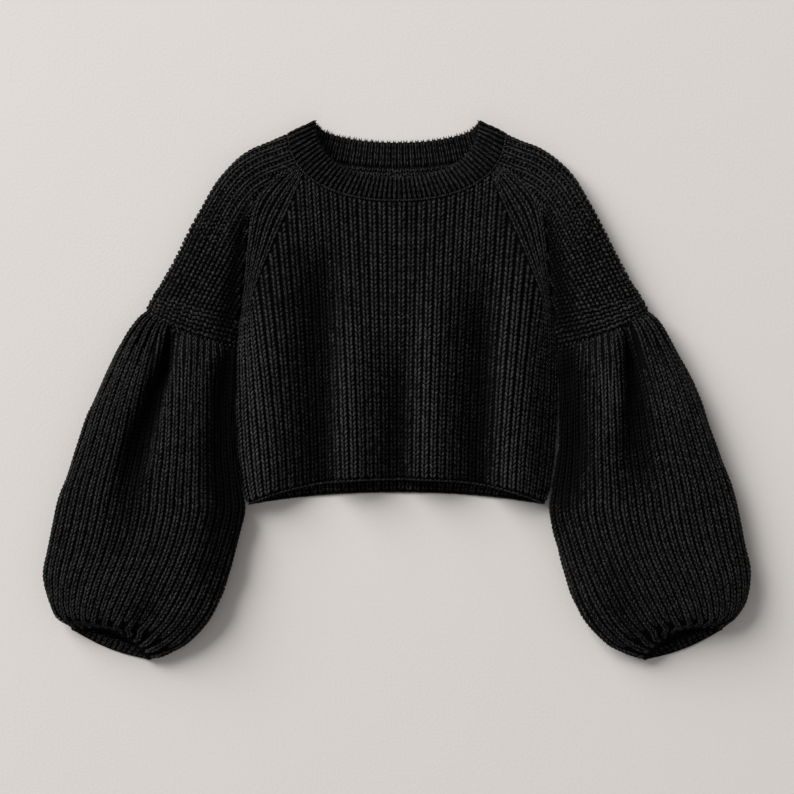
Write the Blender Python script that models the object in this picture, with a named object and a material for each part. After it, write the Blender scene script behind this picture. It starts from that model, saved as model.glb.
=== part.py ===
"""Cropped knit sweater with balloon sleeves, laid flat on its back panel.

The garment lies in the XY plane with the neck towards +Y and its front up (+Z).
Every piece is a knitted wall: a plain inside, and ribs raised on the outside where
the piece doesn't rest on the floor. Tables are in millimetres; the model is in metres.
"""
import math
from collections import namedtuple

import bpy
import numpy as np
from mathutils import Vector

MM = 0.001

# Cloth
WALL = 3.5            # thickness in the furrow between two ribs
RIB_RISE = 1.8        # how far a body rib stands out of the wall
FINE_RIB_RISE = 1.2   # neckband and cuff ribs
SEAM_GAP = 0.3        # space between two pieces at a seam
NECK_GAP = 0.65       # the same along the neck seam, which curves
CUFF_GAP = 0.7        # the same at the cuffs, where the sleeve turns in sharply
GATHER_GAP = 0.5      # the same where the balloon sleeve is gathered into the sleeve head
SIDE_GAP = 0.9        # space between the body's side and a sleeve lying beside it
SKIN = WALL / 2 + RIB_RISE             # middle of a wall to the crests of its ribs
FOLD_SKIN = WALL / 2 + 0.3 * RIB_RISE  # the same at a fold, where the ribs are pressed in
FLOOR = WALL / 2                       # height of the middle of a wall that lies flat
FREE = FLOOR + 2.0                     # below this height the floor presses a wall flat
STANDING = FLOOR + 9.0                 # above it the ribs have their full height
FULL_LIFT = 8.0                        # a seam this high over the floor stands upright

WOOL = (0.021, 0.021, 0.022)  # base colour of the charcoal black yarn

# Rib counts
BODY_RIBS = 30        # upright ribs between the two fashioned bands
BAND_RIBS = 4         # ribs in a fashioned band along a raglan
HEAD_RIBS = 8         # ribs along the top of a sleeve head
HEAD_RIDGES = 10      # cross ridges on the lower part of a sleeve head
BALLOON_RIBS = 24     # ribs across the top of a balloon sleeve
CUFF_RIBS = 11        # ribs across the top of a cuff
NECK_RIBS = 28        # neckband ribs from the front centre to one shoulder

# Body. Widths are half widths of the outline, measured from the centre line.
Side = namedtuple("Side", "x y seam_z")
SIDE_SEAM = (
    Side(203.0, -154.0, 11.0),
    Side(207.5, -140.0, 12.0),
    Side(211.0, -127.0, 12.8),
    Side(215.5, -94.0, 13.5),
    Side(218.8, -40.0, 13.8),
    Side(219.6, 14.0, 13.5),
)

# Sleeve head, one row for each section from the neckband to the gathered seam.
Head = namedtuple(
    "Head", "x y back_x back_y outer_x outer_y front_z back_z roll crown fold_z bow under_bow"
)
SLEEVE_HEAD = (
    Head(135.3, 306.7, 125.0, 325.9, 148.2, 350.2, 22.0, FLOOR, 0.0, 23.0, 12.0, 3.6, 4.5),
    Head(155.0, 298.0, 150.0, 308.0, 170.0, 340.7, 22.0, FLOOR, 0.1, 24.5, 12.0, 3.0, 2.5),
    Head(172.7, 283.6, 172.0, 284.5, 195.8, 329.8, 21.5, FLOOR, 0.4, 26.5, 12.5, 2.0, 1.0),
    Head(189.0, 264.5, 189.0, 264.5, 219.6, 313.5, 20.5, FLOOR, 0.8, 28.5, 13.0, 1.0, 0.0),
    Head(197.6, 242.8, 197.6, 242.8, 240.0, 291.7, 19.5, FLOOR, 1.0, 30.5, 14.0, 0.0, 0.0),
    Head(201.6, 215.6, 201.6, 215.6, 257.0, 265.9, 18.5, FLOOR, 1.0, 32.0, 15.0, 0.0, 0.0),
    Head(204.4, 184.3, 204.4, 184.3, 278.8, 226.4, 17.5, 2.2, 1.0, 33.0, 15.0, 0.0, 0.0),
    Head(207.0, 150.3, 207.0, 150.3, 300.6, 182.9, 16.5, 3.6, 1.0, 33.5, 15.0, 0.0, 0.0),
    Head(211.2, 114.9, 211.2, 114.9, 322.3, 142.1, 15.5, 6.5, 1.0, 33.5, 15.0, 1.5, 1.0),
    Head(216.6, 75.5, 216.6, 75.5, 338.6, 114.9, 14.2, 10.5, 1.0, 32.0, 14.0, 4.0, 2.0),
    Head(218.4, 58.0, 218.4, 58.0, 340.0, 106.0, 13.4, 12.6, 1.0, 30.0, 13.0, 6.0, 3.0),
)

HEAD_VALLEY = 4.0     # how far a sleeve head falls away beside the body

# Height of the front's middle at each level, and how square its sides roll over.
Crown = namedtuple("Crown", "y height squareness")
FRONT_CROWN = (
    Crown(-154.0, 25.0, 9.0),
    Crown(-120.0, 27.0, 9.0),
    Crown(-60.0, 30.0, 9.0),
    Crown(60.0, 31.5, 9.5),
    Crown(140.0, 31.0, 11.0),
    Crown(200.0, 30.0, 12.0),
    Crown(250.0, 27.5, 14.0),
    Crown(285.0, 24.0, 16.0),
    Crown(307.0, 22.0, 16.0),
)

# Soft upright folds of the lower front: depth is positive for a trough.
Fold = namedtuple("Fold", "x width depth top_y")
FRONT_FOLDS = (
    Fold(-173.0, 22.0, -1.5, 60.0),
    Fold(-121.0, 20.0, 4.0, 125.0),
    Fold(-61.0, 24.0, -1.5, 110.0),
    Fold(-20.0, 17.0, 3.0, 90.0),
    Fold(52.0, 26.0, -1.5, 120.0),
    Fold(99.0, 19.0, 4.5, 135.0),
    Fold(160.0, 24.0, -1.5, 70.0),
)

# Inner edge of the fashioned band, from the neckline down to where it meets the side ribs.
Point = namedtuple("Point", "x y")
BAND_EDGE = (
    Point(127.0, 296.7),
    Point(132.0, 282.0),
    Point(139.0, 264.0),
    Point(148.0, 242.0),
    Point(159.5, 216.0),
    Point(172.0, 187.0),
    Point(184.0, 160.0),
    Point(192.0, 140.0),
    Point(197.0, 121.0),
)
BAND_FOOT_X = 171.0   # where the fashioned band's ribs reach the hem

# Hems: height of the edge at the centre and at the corners
FRONT_HEM_Y, FRONT_HEM_DROP, FRONT_HEM_POWER = -120.4, 33.6, 2.6
BACK_HEM_Y = -138.0
BACK_BOW = 2.2        # power of the curve that the back's rows follow
BACK_CURL = 30        # how tightly the back's sides curl up to the side seams
HEM_CORNER_X = 203.0

# Neck seam and neckband rim, as half ovals on the shoulder line
NECK_X, NECK_Y = 148.2, 350.2
FRONT_NECK_DROP, FRONT_NECK_POWER = 92.5, 2.25
BACK_NECK_DROP = 45.0
RIM_X, RIM_Y = 112.5, 367.5
FRONT_RIM_DROP, FRONT_RIM_POWER = 74.0, 2.35
BACK_RIM_DROP = 29.5
RIM_FRONT_Z, RIM_SHOULDER_Z = 24.0, 12.5
BAND_ARCH = 2.5       # how far the middle of the front neckband stands over its edges
NECK_SLOPE = 60.0     # the front falls to the neck seam over this distance

UNDER_CURL = 9        # how tightly a sleeve's underside curls up to its sides

# Balloon sleeve, one row for each section from the gathered seam to the cuff
Balloon = namedtuple(
    "Balloon", "outer_x outer_y inner_x inner_y crown outer_z inner_z round bow under_bow"
)
BALLOON_SLEEVE = (
    Balloon(340.0, 106.0, 218.4, 58.0, 30.0, 13.0, 13.0, 3.6, 6.0, 3.0),
    Balloon(356.3, 90.4, 219.4, 24.0, 39.5, 16.5, 17.5, 3.2, 5.0, 2.0),
    Balloon(378.1, 57.8, 220.3, -18.0, 45.0, 19.0, 20.0, 3.0, 3.0, 1.0),
    Balloon(405.3, 3.4, 219.4, -58.0, 48.5, 21.5, 21.5, 2.9, 0.0, 0.0),
    Balloon(429.8, -61.9, 216.4, -96.0, 50.5, 23.0, 22.5, 2.8, 0.0, 0.0),
    Balloon(452.9, -127.2, 209.8, -136.0, 51.5, 24.0, 22.5, 2.8, 0.0, 0.0),
    Balloon(463.8, -165.2, 206.9, -165.2, 51.5, 24.0, 22.5, 2.8, 0.0, 0.0),
    Balloon(474.6, -214.2, 217.6, -210.1, 51.5, 24.0, 23.0, 2.8, 0.0, 0.0),
    Balloon(479.6, -250.9, 229.8, -253.6, 50.5, 24.0, 23.0, 2.8, 0.0, 0.0),
    Balloon(475.6, -282.2, 242.1, -287.6, 47.5, 22.5, 22.5, 2.8, 0.0, 0.0),
    Balloon(467.0, -300.6, 259.8, -317.6, 42.5, 20.0, 20.0, 2.9, -3.0, 0.0),
    Balloon(459.5, -306.0, 285.0, -344.0, 35.0, 16.0, 16.0, 3.0, -8.0, 0.0),
    Balloon(452.5, -309.5, 307.0, -355.0, 28.5, 13.0, 13.0, 3.1, -13.0, 0.5),
    Balloon(445.4, -315.5, 327.0, -361.0, 24.0, 10.5, 10.5, 3.2, -17.0, 1.0),
)
CUFF = (
    Balloon(445.4, -315.5, 327.0, -361.0, 24.0, 10.5, 10.5, 3.2, -17.0, 1.0),
    Balloon(444.5, -320.5, 331.0, -364.0, 23.0, 10.5, 10.5, 3.2, -15.5, -1.0),
    Balloon(445.0, -324.5, 336.5, -367.0, 21.5, 10.5, 10.5, 3.2, -14.5, -4.0),
)

# Long creases of the balloon sleeves. across is 0 at the body side and 1 at the outer
# side, along is 0 at the gathered seam and 1 at the cuff; depth is positive for a trough.
Crease = namedtuple("Crease", "across along depth width")
LEFT_CREASES = (
    (Crease(0.72, 0.0, 5.0, 0.05), Crease(0.71, 0.18, 11.0, 0.07), Crease(0.66, 0.50, 0.0, 0.11)),
    (Crease(0.50, 0.0, -1.0, 0.06), Crease(0.48, 0.22, -3.0, 0.08), Crease(0.44, 0.46, 0.0, 0.10)),
    (Crease(0.12, 0.0, 2.0, 0.05), Crease(0.10, 0.20, 6.0, 0.06), Crease(0.10, 0.44, 0.0, 0.07)),
)
RIGHT_CREASES = (
    (Crease(0.82, 0.0, 4.0, 0.05), Crease(0.66, 0.18, 9.0, 0.08), Crease(0.54, 0.38, 0.0, 0.10)),
    (Crease(0.40, 0.0, -1.0, 0.06), Crease(0.40, 0.20, -2.5, 0.08), Crease(0.40, 0.42, 0.0, 0.10)),
    (Crease(0.12, 0.0, 2.0, 0.05), Crease(0.10, 0.20, 5.5, 0.06), Crease(0.10, 0.40, 0.0, 0.07)),
)

FINE_STEPS = 160      # steps along a curve before it is cut into equal lengths

# Grid sizes. Every count is even, because the plain inside takes every second line.
BODY_ROWS = 12
BAND_ROWS = 10
BACK_SIDE_ROWS = 6
BACK_ACROSS = (0.0, 0.17, 0.34, 0.50, 0.64, 0.76, 0.86, 0.95, 0.986, 1.0)
HEAD_UPPER_ROWS = 6
HEAD_UNDER_COLUMNS = 8
BALLOON_ROWS = 16
TUBE_UNDER_COLUMNS = 10
NECK_BACK_COLUMNS = 10
RIDGE_START = 0.46    # share of the sleeve head's length where the cross ridges begin
BAND_CORNER = 8.0     # row of the sleeve head where a fashioned band leaves the side ribs


def column(rows, name):
    """The named column of a table, as an array."""
    return np.array([getattr(row, name) for row in rows])


def smoothstep(low, high, value):
    """0 below low, 1 above high, and a smooth rise between them."""
    t = np.clip((value - low) / (high - low), 0.0, 1.0)
    return t * t * (3.0 - 2.0 * t)


def between_rows(rows, at):
    """A row read from a table at a fractional place, on a smooth curve through its rows."""
    last = len(rows) - 1
    i = min(max(int(at), 0), last - 1)
    t = min(max(at - i, 0.0), 1.0)
    start, end = np.array(rows[i]), np.array(rows[i + 1])
    before = np.array(rows[i - 1]) if i > 0 else 2 * start - end
    after = np.array(rows[i + 2]) if i + 2 <= last else 2 * end - start
    values = start + (end - start) * t * t * (3 - 2 * t)
    values += (end - before) / 2 * (t - 2 * t * t + t ** 3)
    values += (after - start) / 2 * (t ** 3 - t * t)
    return type(rows[0])(*values)


def along_line(points, shares):
    """Points at the given shares of a polyline's length."""
    points = np.array(points, float)
    steps = np.linalg.norm(np.diff(points, axis=0), axis=1)
    length = np.concatenate([[0.0], np.cumsum(steps)])
    places = np.array(shares) * length[-1]
    return np.column_stack([np.interp(places, length, points[:, k]) for k in range(points.shape[1])])


def even_shares(count):
    """Equally spaced shares from 0 to 1."""
    return np.linspace(0.0, 1.0, count + 1)


# ---------------------------------------------------------------- body surface

HEAD_LAST = len(SLEEVE_HEAD) - 1
RAGLAN = [between_rows(SLEEVE_HEAD, level) for level in np.linspace(HEAD_LAST, 0.0, 101)]
EDGE_Y = np.concatenate([column(SIDE_SEAM, "y"), column(RAGLAN, "y")])
EDGE_X = np.concatenate([column(SIDE_SEAM, "x"), column(RAGLAN, "x")])
EDGE_Z = np.concatenate([column(SIDE_SEAM, "seam_z"), column(RAGLAN, "front_z")])
ROLL_Y = column(RAGLAN, "y")
ROLL = np.clip(column(RAGLAN, "roll"), 0.0, 1.0)


def edge_roll(y):
    """How far the body's edge is rolled over: 1 stands upright, 0 lies flat."""
    return np.interp(y, ROLL_Y, ROLL)


def raglan_levels():
    """Rows of the sleeve head that both body panels share, from the corner to the neck."""
    start = RIDGE_START * HEAD_LAST
    upper = np.linspace(start, 0.0, HEAD_UPPER_ROWS + 1)
    lower = np.linspace(BAND_CORNER, start, BAND_ROWS - HEAD_UPPER_ROWS + 1)
    return np.concatenate([lower, upper[1:]])


def front_half(y):
    """Half width of the front's middle surface at a level."""
    return np.interp(y, EDGE_Y, EDGE_X) - SKIN * edge_roll(y) - SEAM_GAP / 2


def front_height(x, y):
    """Height of the front's middle surface over the floor."""
    crown = np.interp(y, column(FRONT_CROWN, "y"), column(FRONT_CROWN, "height"))
    square = np.interp(y, column(FRONT_CROWN, "y"), column(FRONT_CROWN, "squareness"))
    for fold in FRONT_FOLDS:
        fade = 1.0 - smoothstep(fold.top_y - 130.0, fold.top_y, y)
        crown = crown - fold.depth * fade * np.exp(-(((x - fold.x) / fold.width) ** 2))
    seam = np.interp(y, EDGE_Y, EDGE_Z) + SEAM_GAP / 2
    reach = np.clip(np.abs(x) / front_half(y), 0.0, 1.0)
    profile = np.sqrt(1.0 - reach ** square)
    neck = neck_reach(x, y)
    crown = EDGE_Z[-1] + (crown - EDGE_Z[-1]) * smoothstep(0.0, NECK_SLOPE, neck)
    return seam + (np.maximum(crown, seam) - seam) * profile


def neck_reach(x, y):
    """Rough distance from the front neck seam, outwards."""
    across = (np.abs(x) / NECK_X) ** FRONT_NECK_POWER
    down = (np.maximum(NECK_Y - y, 0.0) / FRONT_NECK_DROP) ** FRONT_NECK_POWER
    return ((across + down) ** (1.0 / FRONT_NECK_POWER) - 1.0) * FRONT_NECK_DROP


def oval_y(x, half_width, centre_y, drop, power):
    """Level of a half oval that hangs from centre_y."""
    reach = np.clip(np.abs(x) / half_width, 0.0, 1.0) ** power
    return centre_y - drop * (1.0 - reach) ** (1.0 / power)


def hem_y(x, centre, drop, power):
    """Level of a hem that curves down to its corners."""
    return centre - drop * (np.abs(x) / HEM_CORNER_X) ** power


def front_point(x, y):
    """Point of the front's middle surface over a place in plan."""
    return (x, y, float(front_height(x, y)))


# ---------------------------------------------------------------- walls

def rib_wave(index, rise):
    """Height over the wall of one line of a ribbed grid: furrow, crest, furrow."""
    return rise if index % 2 else 0.0


def grid_wall(name, patches, material, faces_up=True):
    """One closed wall from patches of a middle surface, in millimetres.

    A patch is (points, ribs, closed, fixed): points[row][column] are places, ribs the
    height of the outside over the wall there, closed joins the last column to the
    first, and fixed maps (row, column) to an outward direction.
    """
    index, places, rises, directions = {}, [], [], {}
    fine, coarse, halfway = [], [], {}

    def number(point, rise):
        key = tuple(round(value * 100) for value in point)
        if key not in index:
            index[key] = len(places)
            places.append([float(value) for value in point])
            rises.append(float(rise))
        return index[key]

    for points, ribs, closed, fixed in patches:
        rows, columns = len(points), len(points[0])
        ids = [[number(points[r][c], ribs[r][c]) for c in range(columns)] for r in range(rows)]
        for (r, c), direction in fixed.items():
            directions[ids[r][c]] = np.array(direction, float)
        span = columns if closed else columns - 1
        for r in range(rows - 1):
            for c in range(span):
                d = (c + 1) % columns
                fine.append((ids[r][c], ids[r][d], ids[r + 1][d], ids[r + 1][c]))
        for r in range(0, rows - 2, 2):
            for c in range(0, span, 2):
                m, d = c + 1, (c + 2) % columns
                corners = (ids[r][c], ids[r][d], ids[r + 2][d], ids[r + 2][c])
                middles = (ids[r][m], ids[r + 1][d], ids[r + 2][m], ids[r + 1][c])
                coarse.append(corners)
                for k in range(4):
                    halfway[frozenset((corners[k], corners[(k + 1) % 4]))] = middles[k]

    places = np.array(places)
    normals = point_normals(places, fine)
    top = int(np.argmax(places[:, 2])) if faces_up else int(np.argmin(places[:, 2]))
    if (normals[top, 2] > 0) != faces_up:
        normals = -normals
    for i, direction in directions.items():
        normals[i] = direction / np.linalg.norm(direction)

    outer = places + normals * (WALL / 2 + np.array(rises))[:, None]
    outer[:, 2] = np.where(outer[:, 2] < SEAM_GAP, 0.0, outer[:, 2])
    inner = places - normals * (WALL / 2)
    return wall_object(name, outer, inner, fine, coarse, halfway, material)


def point_normals(places, faces):
    """Unit normals of the points of a surface of quads."""
    faces = np.array(faces)
    across = places[faces[:, 2]] - places[faces[:, 0]]
    over = places[faces[:, 3]] - places[faces[:, 1]]
    normals = np.zeros_like(places)
    cross = np.cross(across, over)
    for k in range(4):
        np.add.at(normals, faces[:, k], cross)
    return normals / np.linalg.norm(normals, axis=1)[:, None]


def wall_object(name, outer, inner, fine, coarse, halfway, material):
    """The Blender object of a wall: ribbed outside, plain inside and a rim all round."""
    used = sorted({i for face in coarse for i in face})
    inner_id = {i: len(outer) + k for k, i in enumerate(used)}
    points = [Vector(p) * MM for p in outer] + [Vector(inner[i]) * MM for i in used]
    faces = [list(face) for face in fine]
    faces += [[inner_id[i] for i in reversed(face)] for face in coarse]
    edge_use = {}
    for face in coarse:
        for k in range(4):
            a, b = face[k], face[(k + 1) % 4]
            edge_use.setdefault(frozenset((a, b)), []).append((a, b))
    for pair, uses in edge_use.items():
        if len(uses) == 1:
            a, b = uses[0]
            m = halfway[pair]
            faces += [[b, m, inner_id[b]], [m, a, inner_id[a]], [m, inner_id[a], inner_id[b]]]
    mesh = bpy.data.meshes.new(name)
    mesh.from_pydata(points, [], faces)
    mesh.validate()
    body = bpy.data.objects.new(name, mesh)
    body.data.materials.append(material)
    return face_outwards(body)


def face_outwards(body):
    """Turns every face of a closed mesh so that it faces out."""
    mesh = body.data
    volume = 0.0
    for face in mesh.polygons:
        corners = [mesh.vertices[i].co for i in face.vertices]
        for k in range(1, len(corners) - 1):
            volume += corners[0].dot(corners[k].cross(corners[k + 1]))
    if volume < 0:
        mesh.flip_normals()
    mesh.shade_smooth()
    return body


# ---------------------------------------------------------------- front

def side_plan(y):
    """Direction in plan square to the body's edge at a level, right side."""
    step = 4.0
    dx = np.interp(y + step, EDGE_Y, EDGE_X) - np.interp(y - step, EDGE_Y, EDGE_X)
    return np.array([2 * step, -dx]) / math.hypot(2 * step, dx)


def side_direction(y):
    """Outward direction of the body's rolled edge at a level, right side."""
    plan = side_plan(y)
    roll = float(edge_roll(y))
    return (plan[0] * roll, plan[1] * roll, 1.0 - roll)


def central_grid():
    """Upright ribs of the front between the two fashioned bands, in plan."""
    columns = BODY_RIBS * 2
    band = along_line([(p.x, p.y) for p in reversed(BAND_EDGE)], even_shares(BAND_ROWS))
    neck_x = np.linspace(BAND_EDGE[0].x, -BAND_EDGE[0].x, FINE_STEPS + 1)
    neck_y = oval_y(neck_x, NECK_X, NECK_Y, FRONT_NECK_DROP, FRONT_NECK_POWER)
    neck = along_line(np.column_stack([neck_x, neck_y]), even_shares(columns - 2 * BAND_ROWS))
    left_band = band[::-1] * np.array([-1.0, 1.0])
    top = np.vstack([band[:-1], neck, left_band[1:]])
    foot_x = np.linspace(BAND_FOOT_X, -BAND_FOOT_X, columns + 1)
    foot_y = hem_y(foot_x, FRONT_HEM_Y, FRONT_HEM_DROP, FRONT_HEM_POWER)
    rows = []
    for share in even_shares(BODY_ROWS):
        x = foot_x + (top[:, 0] - foot_x) * share ** 1.4
        y = foot_y + (top[:, 1] - foot_y) * share
        rows.append(np.column_stack([x, y]))
    return rows


def fashioned_band(inner_points):
    """One fashioned band: ribs that follow the side seam and then the raglan, right side."""
    columns = BAND_RIBS * 2
    upper = [between_rows(SLEEVE_HEAD, level).y for level in raglan_levels()]
    lower = np.linspace(EDGE_Y[0], upper[0], BODY_ROWS + 1)
    edge_levels = list(lower) + upper[1:]
    points, ribs, fixed = [], [], {}
    for r, (start, level) in enumerate(zip(inner_points, edge_levels)):
        end = np.array([float(front_half(level)), level])
        fine = 1.0 - (1.0 - even_shares(FINE_STEPS)) ** 2
        plan = start + (end - start) * fine[:, None]
        if r == len(inner_points) - 1:
            plan[:, 1] = oval_y(plan[:, 0], NECK_X, NECK_Y, FRONT_NECK_DROP, FRONT_NECK_POWER)
        height = front_height(plan[:, 0], plan[:, 1])
        line = along_line(np.column_stack([plan, height]), even_shares(columns))
        pitch = np.linalg.norm(line[-1] - line[0]) / BAND_RIBS
        rise = RIB_RISE * smoothstep(1.0, 9.0, pitch)
        points.append(line)
        ribs.append([rib_wave(c, rise) for c in range(columns + 1)])
        fixed[(r, columns)] = side_direction(level)
    return points, ribs, fixed


def make_front(material):
    """Front panel: thirty upright ribs between two fashioned bands."""
    plan = central_grid()
    grid = [[front_point(x, y) for x, y in row] for row in plan]
    ribs = [[rib_wave(c, RIB_RISE) for c in range(len(row))] for row in grid]
    ribs[-1] = [0.0] * len(ribs[-1])
    inner = [np.array(row[0]) for row in plan] + [np.array(p) for p in plan[-1][1: BAND_ROWS + 1]]
    points, band_ribs, fixed = fashioned_band(inner)
    neck_columns = range(BAND_ROWS, len(grid[0]) - BAND_ROWS)
    patches = [(grid, ribs, False, {(BODY_ROWS, c): (0.0, 0.0, 1.0) for c in neck_columns})]
    fixed.update({(len(points) - 1, c): (0.0, 0.0, 1.0) for c in range(BAND_RIBS * 2)})
    for side in (1.0, -1.0):
        flip = np.array([side, 1.0, 1.0])
        rows = []
        for r, row in enumerate(points):
            rows.append([tuple(point * flip) for point in row])
            start = rows[-1][0]
            height = float(front_height(start[0], start[1]))
            rows[-1][0] = (start[0], start[1], height)
        turned = {key: tuple(np.array(d) * flip) for key, d in fixed.items()}
        patches.append((rows, band_ribs, False, turned))
    patches[2] = mirrored_winding(patches[2])
    return grid_wall("front", orient(patches), material)


def mirrored_winding(patch):
    """The same patch with its columns in the other order."""
    points, ribs, closed, fixed = patch
    last = len(points[0]) - 1
    turned = {(r, last - c): direction for (r, c), direction in fixed.items()}
    points = [list(reversed(row)) for row in points]
    ribs = [list(reversed(row)) for row in ribs]
    return points, ribs, closed, turned


def orient(patches):
    """Patches of one upward surface with their columns all wound the same way."""
    turned = []
    for patch in patches:
        points = patch[0]
        a, b, c = (np.array(points[i][j]) for i, j in ((0, 0), (0, 1), (1, 0)))
        turned.append(patch if np.cross(b - a, c - a)[2] > 0 else mirrored_winding(patch))
    return turned


# ---------------------------------------------------------------- back

BACK_Y = np.concatenate([column(SIDE_SEAM, "y"), column(RAGLAN, "back_y")])
BACK_X = np.concatenate([column(SIDE_SEAM, "x"), column(RAGLAN, "back_x")])
BACK_Z = np.concatenate([column(SIDE_SEAM, "seam_z"), column(RAGLAN, "back_z")])


def make_back(material):
    """Back panel: flat on the floor, with its sides curled up to the side seams."""
    upper = [between_rows(SLEEVE_HEAD, level).back_y for level in raglan_levels()]
    levels = list(np.linspace(BACK_Y[0], upper[0], BACK_SIDE_ROWS + 1)) + upper[1:]
    last = len(levels) - 1
    across = [-share for share in reversed(BACK_ACROSS[1:])] + list(BACK_ACROSS)
    points, ribs, fixed = [], [], {}
    for r, level in enumerate(levels):
        share = (level - levels[0]) / (levels[-1] - levels[0])
        lift = float(np.interp(level, BACK_Y, BACK_Z)) - FLOOR - SEAM_GAP / 2
        lift = max(lift, 0.0)
        stand = min(lift / FULL_LIFT, 1.0)
        half = float(np.interp(level, BACK_Y, BACK_X)) - SKIN * stand - SEAM_GAP / 2
        centre = BACK_HEM_Y + (NECK_Y - BACK_NECK_DROP - BACK_HEM_Y) * share
        row = []
        for u in across:
            x = u * half
            y = level + (centre - level) * (1.0 - abs(u) ** BACK_BOW)
            if r == last:
                y = oval_y(x, NECK_X, NECK_Y, BACK_NECK_DROP, 2.0)
            curl = 1.0 - math.sqrt(1.0 - abs(u) ** BACK_CURL)
            row.append((x, float(y), FLOOR + lift * curl))
        points.append(row)
        ribs.append([0.0] * len(row))
        plan = side_plan(level)
        for c, sign in ((0, -1.0), (len(row) - 1, 1.0)):
            fixed[(r, c)] = (sign * plan[0] * stand, plan[1] * stand, stand - 1.0)
    return grid_wall("back", [(points, ribs, False, fixed)], material, faces_up=False)


# ---------------------------------------------------------------- sleeves

def top_line(start, end, z_start, z_end, crown, power, bow, count, dents=None):
    """Points over a section's top, equally spaced along the cloth."""
    q = 0.5 - 0.5 * np.cos(math.pi * even_shares(FINE_STEPS))
    chord = end - start
    side = np.array([chord[1], -chord[0]]) / np.linalg.norm(chord)
    plan = start + chord * q[:, None] + side * (4.0 * bow * q * (1.0 - q))[:, None]
    base = z_start + (z_end - z_start) * q
    profile = np.sqrt(1.0 - np.abs(2.0 * q - 1.0) ** power)
    height = base + (crown - base) * profile
    if dents is not None:
        height = height - dents(q) * profile
    return along_line(np.column_stack([plan, height]), even_shares(count))


def under_line(start, end, z_start, z_end, bow, count):
    """Points under a section, flat on the floor between its curled sides."""
    q = 0.5 - 0.5 * np.cos(math.pi * even_shares(FINE_STEPS))
    chord = end - start
    side = np.array([-chord[1], chord[0]]) / np.linalg.norm(chord)
    plan = start + chord * q[:, None] + side * (4.0 * bow * q * (1.0 - q))[:, None]
    base = z_start + (z_end - z_start) * q
    curl = 1.0 - np.sqrt(1.0 - np.abs(2.0 * q - 1.0) ** UNDER_CURL)
    height = FLOOR + (base - FLOOR) * curl
    height = np.where(height < FLOOR + 0.05, FLOOR, height)
    return along_line(np.column_stack([plan, height]), even_shares(count))


def seam_stand(row):
    """How upright a sleeve head's under edge stands: 0 on the floor, 1 well clear of it."""
    return min(max(row.back_z - FLOOR, 0.0) / FULL_LIFT, 1.0)


def head_section(row, fall=0.0):
    """Middle line of one section of a sleeve head: over the top, round and under.

    fall is how far its body side falls away.
    """
    front = np.array([row.x, row.y])
    back = np.array([row.back_x, row.back_y])
    outer = np.array([row.outer_x, row.outer_y])
    across = (outer - front) / np.linalg.norm(outer - front)
    under = (outer - back) / np.linalg.norm(outer - back)
    stand = seam_stand(row)
    inset = SKIN * row.roll + SEAM_GAP / 2 + SIDE_GAP * row.roll
    start = front + across * inset
    fold = outer - across * FOLD_SKIN
    finish = back + under * (SKIN * stand + SEAM_GAP / 2 + SIDE_GAP * stand)
    power = 2.6 + 1.2 * row.roll
    top = top_line(start, fold, row.front_z + SEAM_GAP / 2, row.fold_z, row.crown, power,
                   row.bow, HEAD_RIBS * 2, lambda q: fall * np.exp(-(((q - 0.09) / 0.11) ** 2)))
    below = under_line(fold, finish, row.fold_z, max(row.back_z - SEAM_GAP / 2, FLOOR),
                       -row.under_bow, HEAD_UNDER_COLUMNS)
    return np.vstack([top, below[1:]])


def section_directions(line, start, fold):
    """Outward directions of a section's middle line, in the upright plane of the section."""
    across = np.append((fold - start) / np.linalg.norm(fold - start), 0.0)
    run = np.gradient(line, axis=0)
    along = run @ across
    directions = -across * run[:, 2][:, None]
    directions[:, 2] += along
    return directions


def head_levels():
    """Places of the sleeve head's rows: wide ones, then two for each cross ridge."""
    last = len(SLEEVE_HEAD) - 1
    start = RIDGE_START * last
    upper = np.linspace(0.0, start, HEAD_UPPER_ROWS + 1)
    lower = np.linspace(start, last, HEAD_RIDGES * 2 + 1)
    return np.concatenate([upper, lower[1:]])


def head_ribs(r, rows, heights):
    """Rib heights of one row of a sleeve head."""
    share = max(r - HEAD_UPPER_ROWS, 0) / (rows - HEAD_UPPER_ROWS)
    ridge = smoothstep(0.0, 0.45, share)
    cross = rib_wave(r - HEAD_UPPER_ROWS, 1.0) if r > HEAD_UPPER_ROWS else 0.0
    line = []
    for c, height in enumerate(heights):
        along = rib_wave(c, 1.0) if c <= HEAD_RIBS * 2 else 0.5
        rise = RIB_RISE * ((1.0 - ridge) * along + ridge * cross)
        line.append(rise * smoothstep(FREE, STANDING, height))
    if r in (0, rows):
        line = [0.0] * len(line)
    return line


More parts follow.
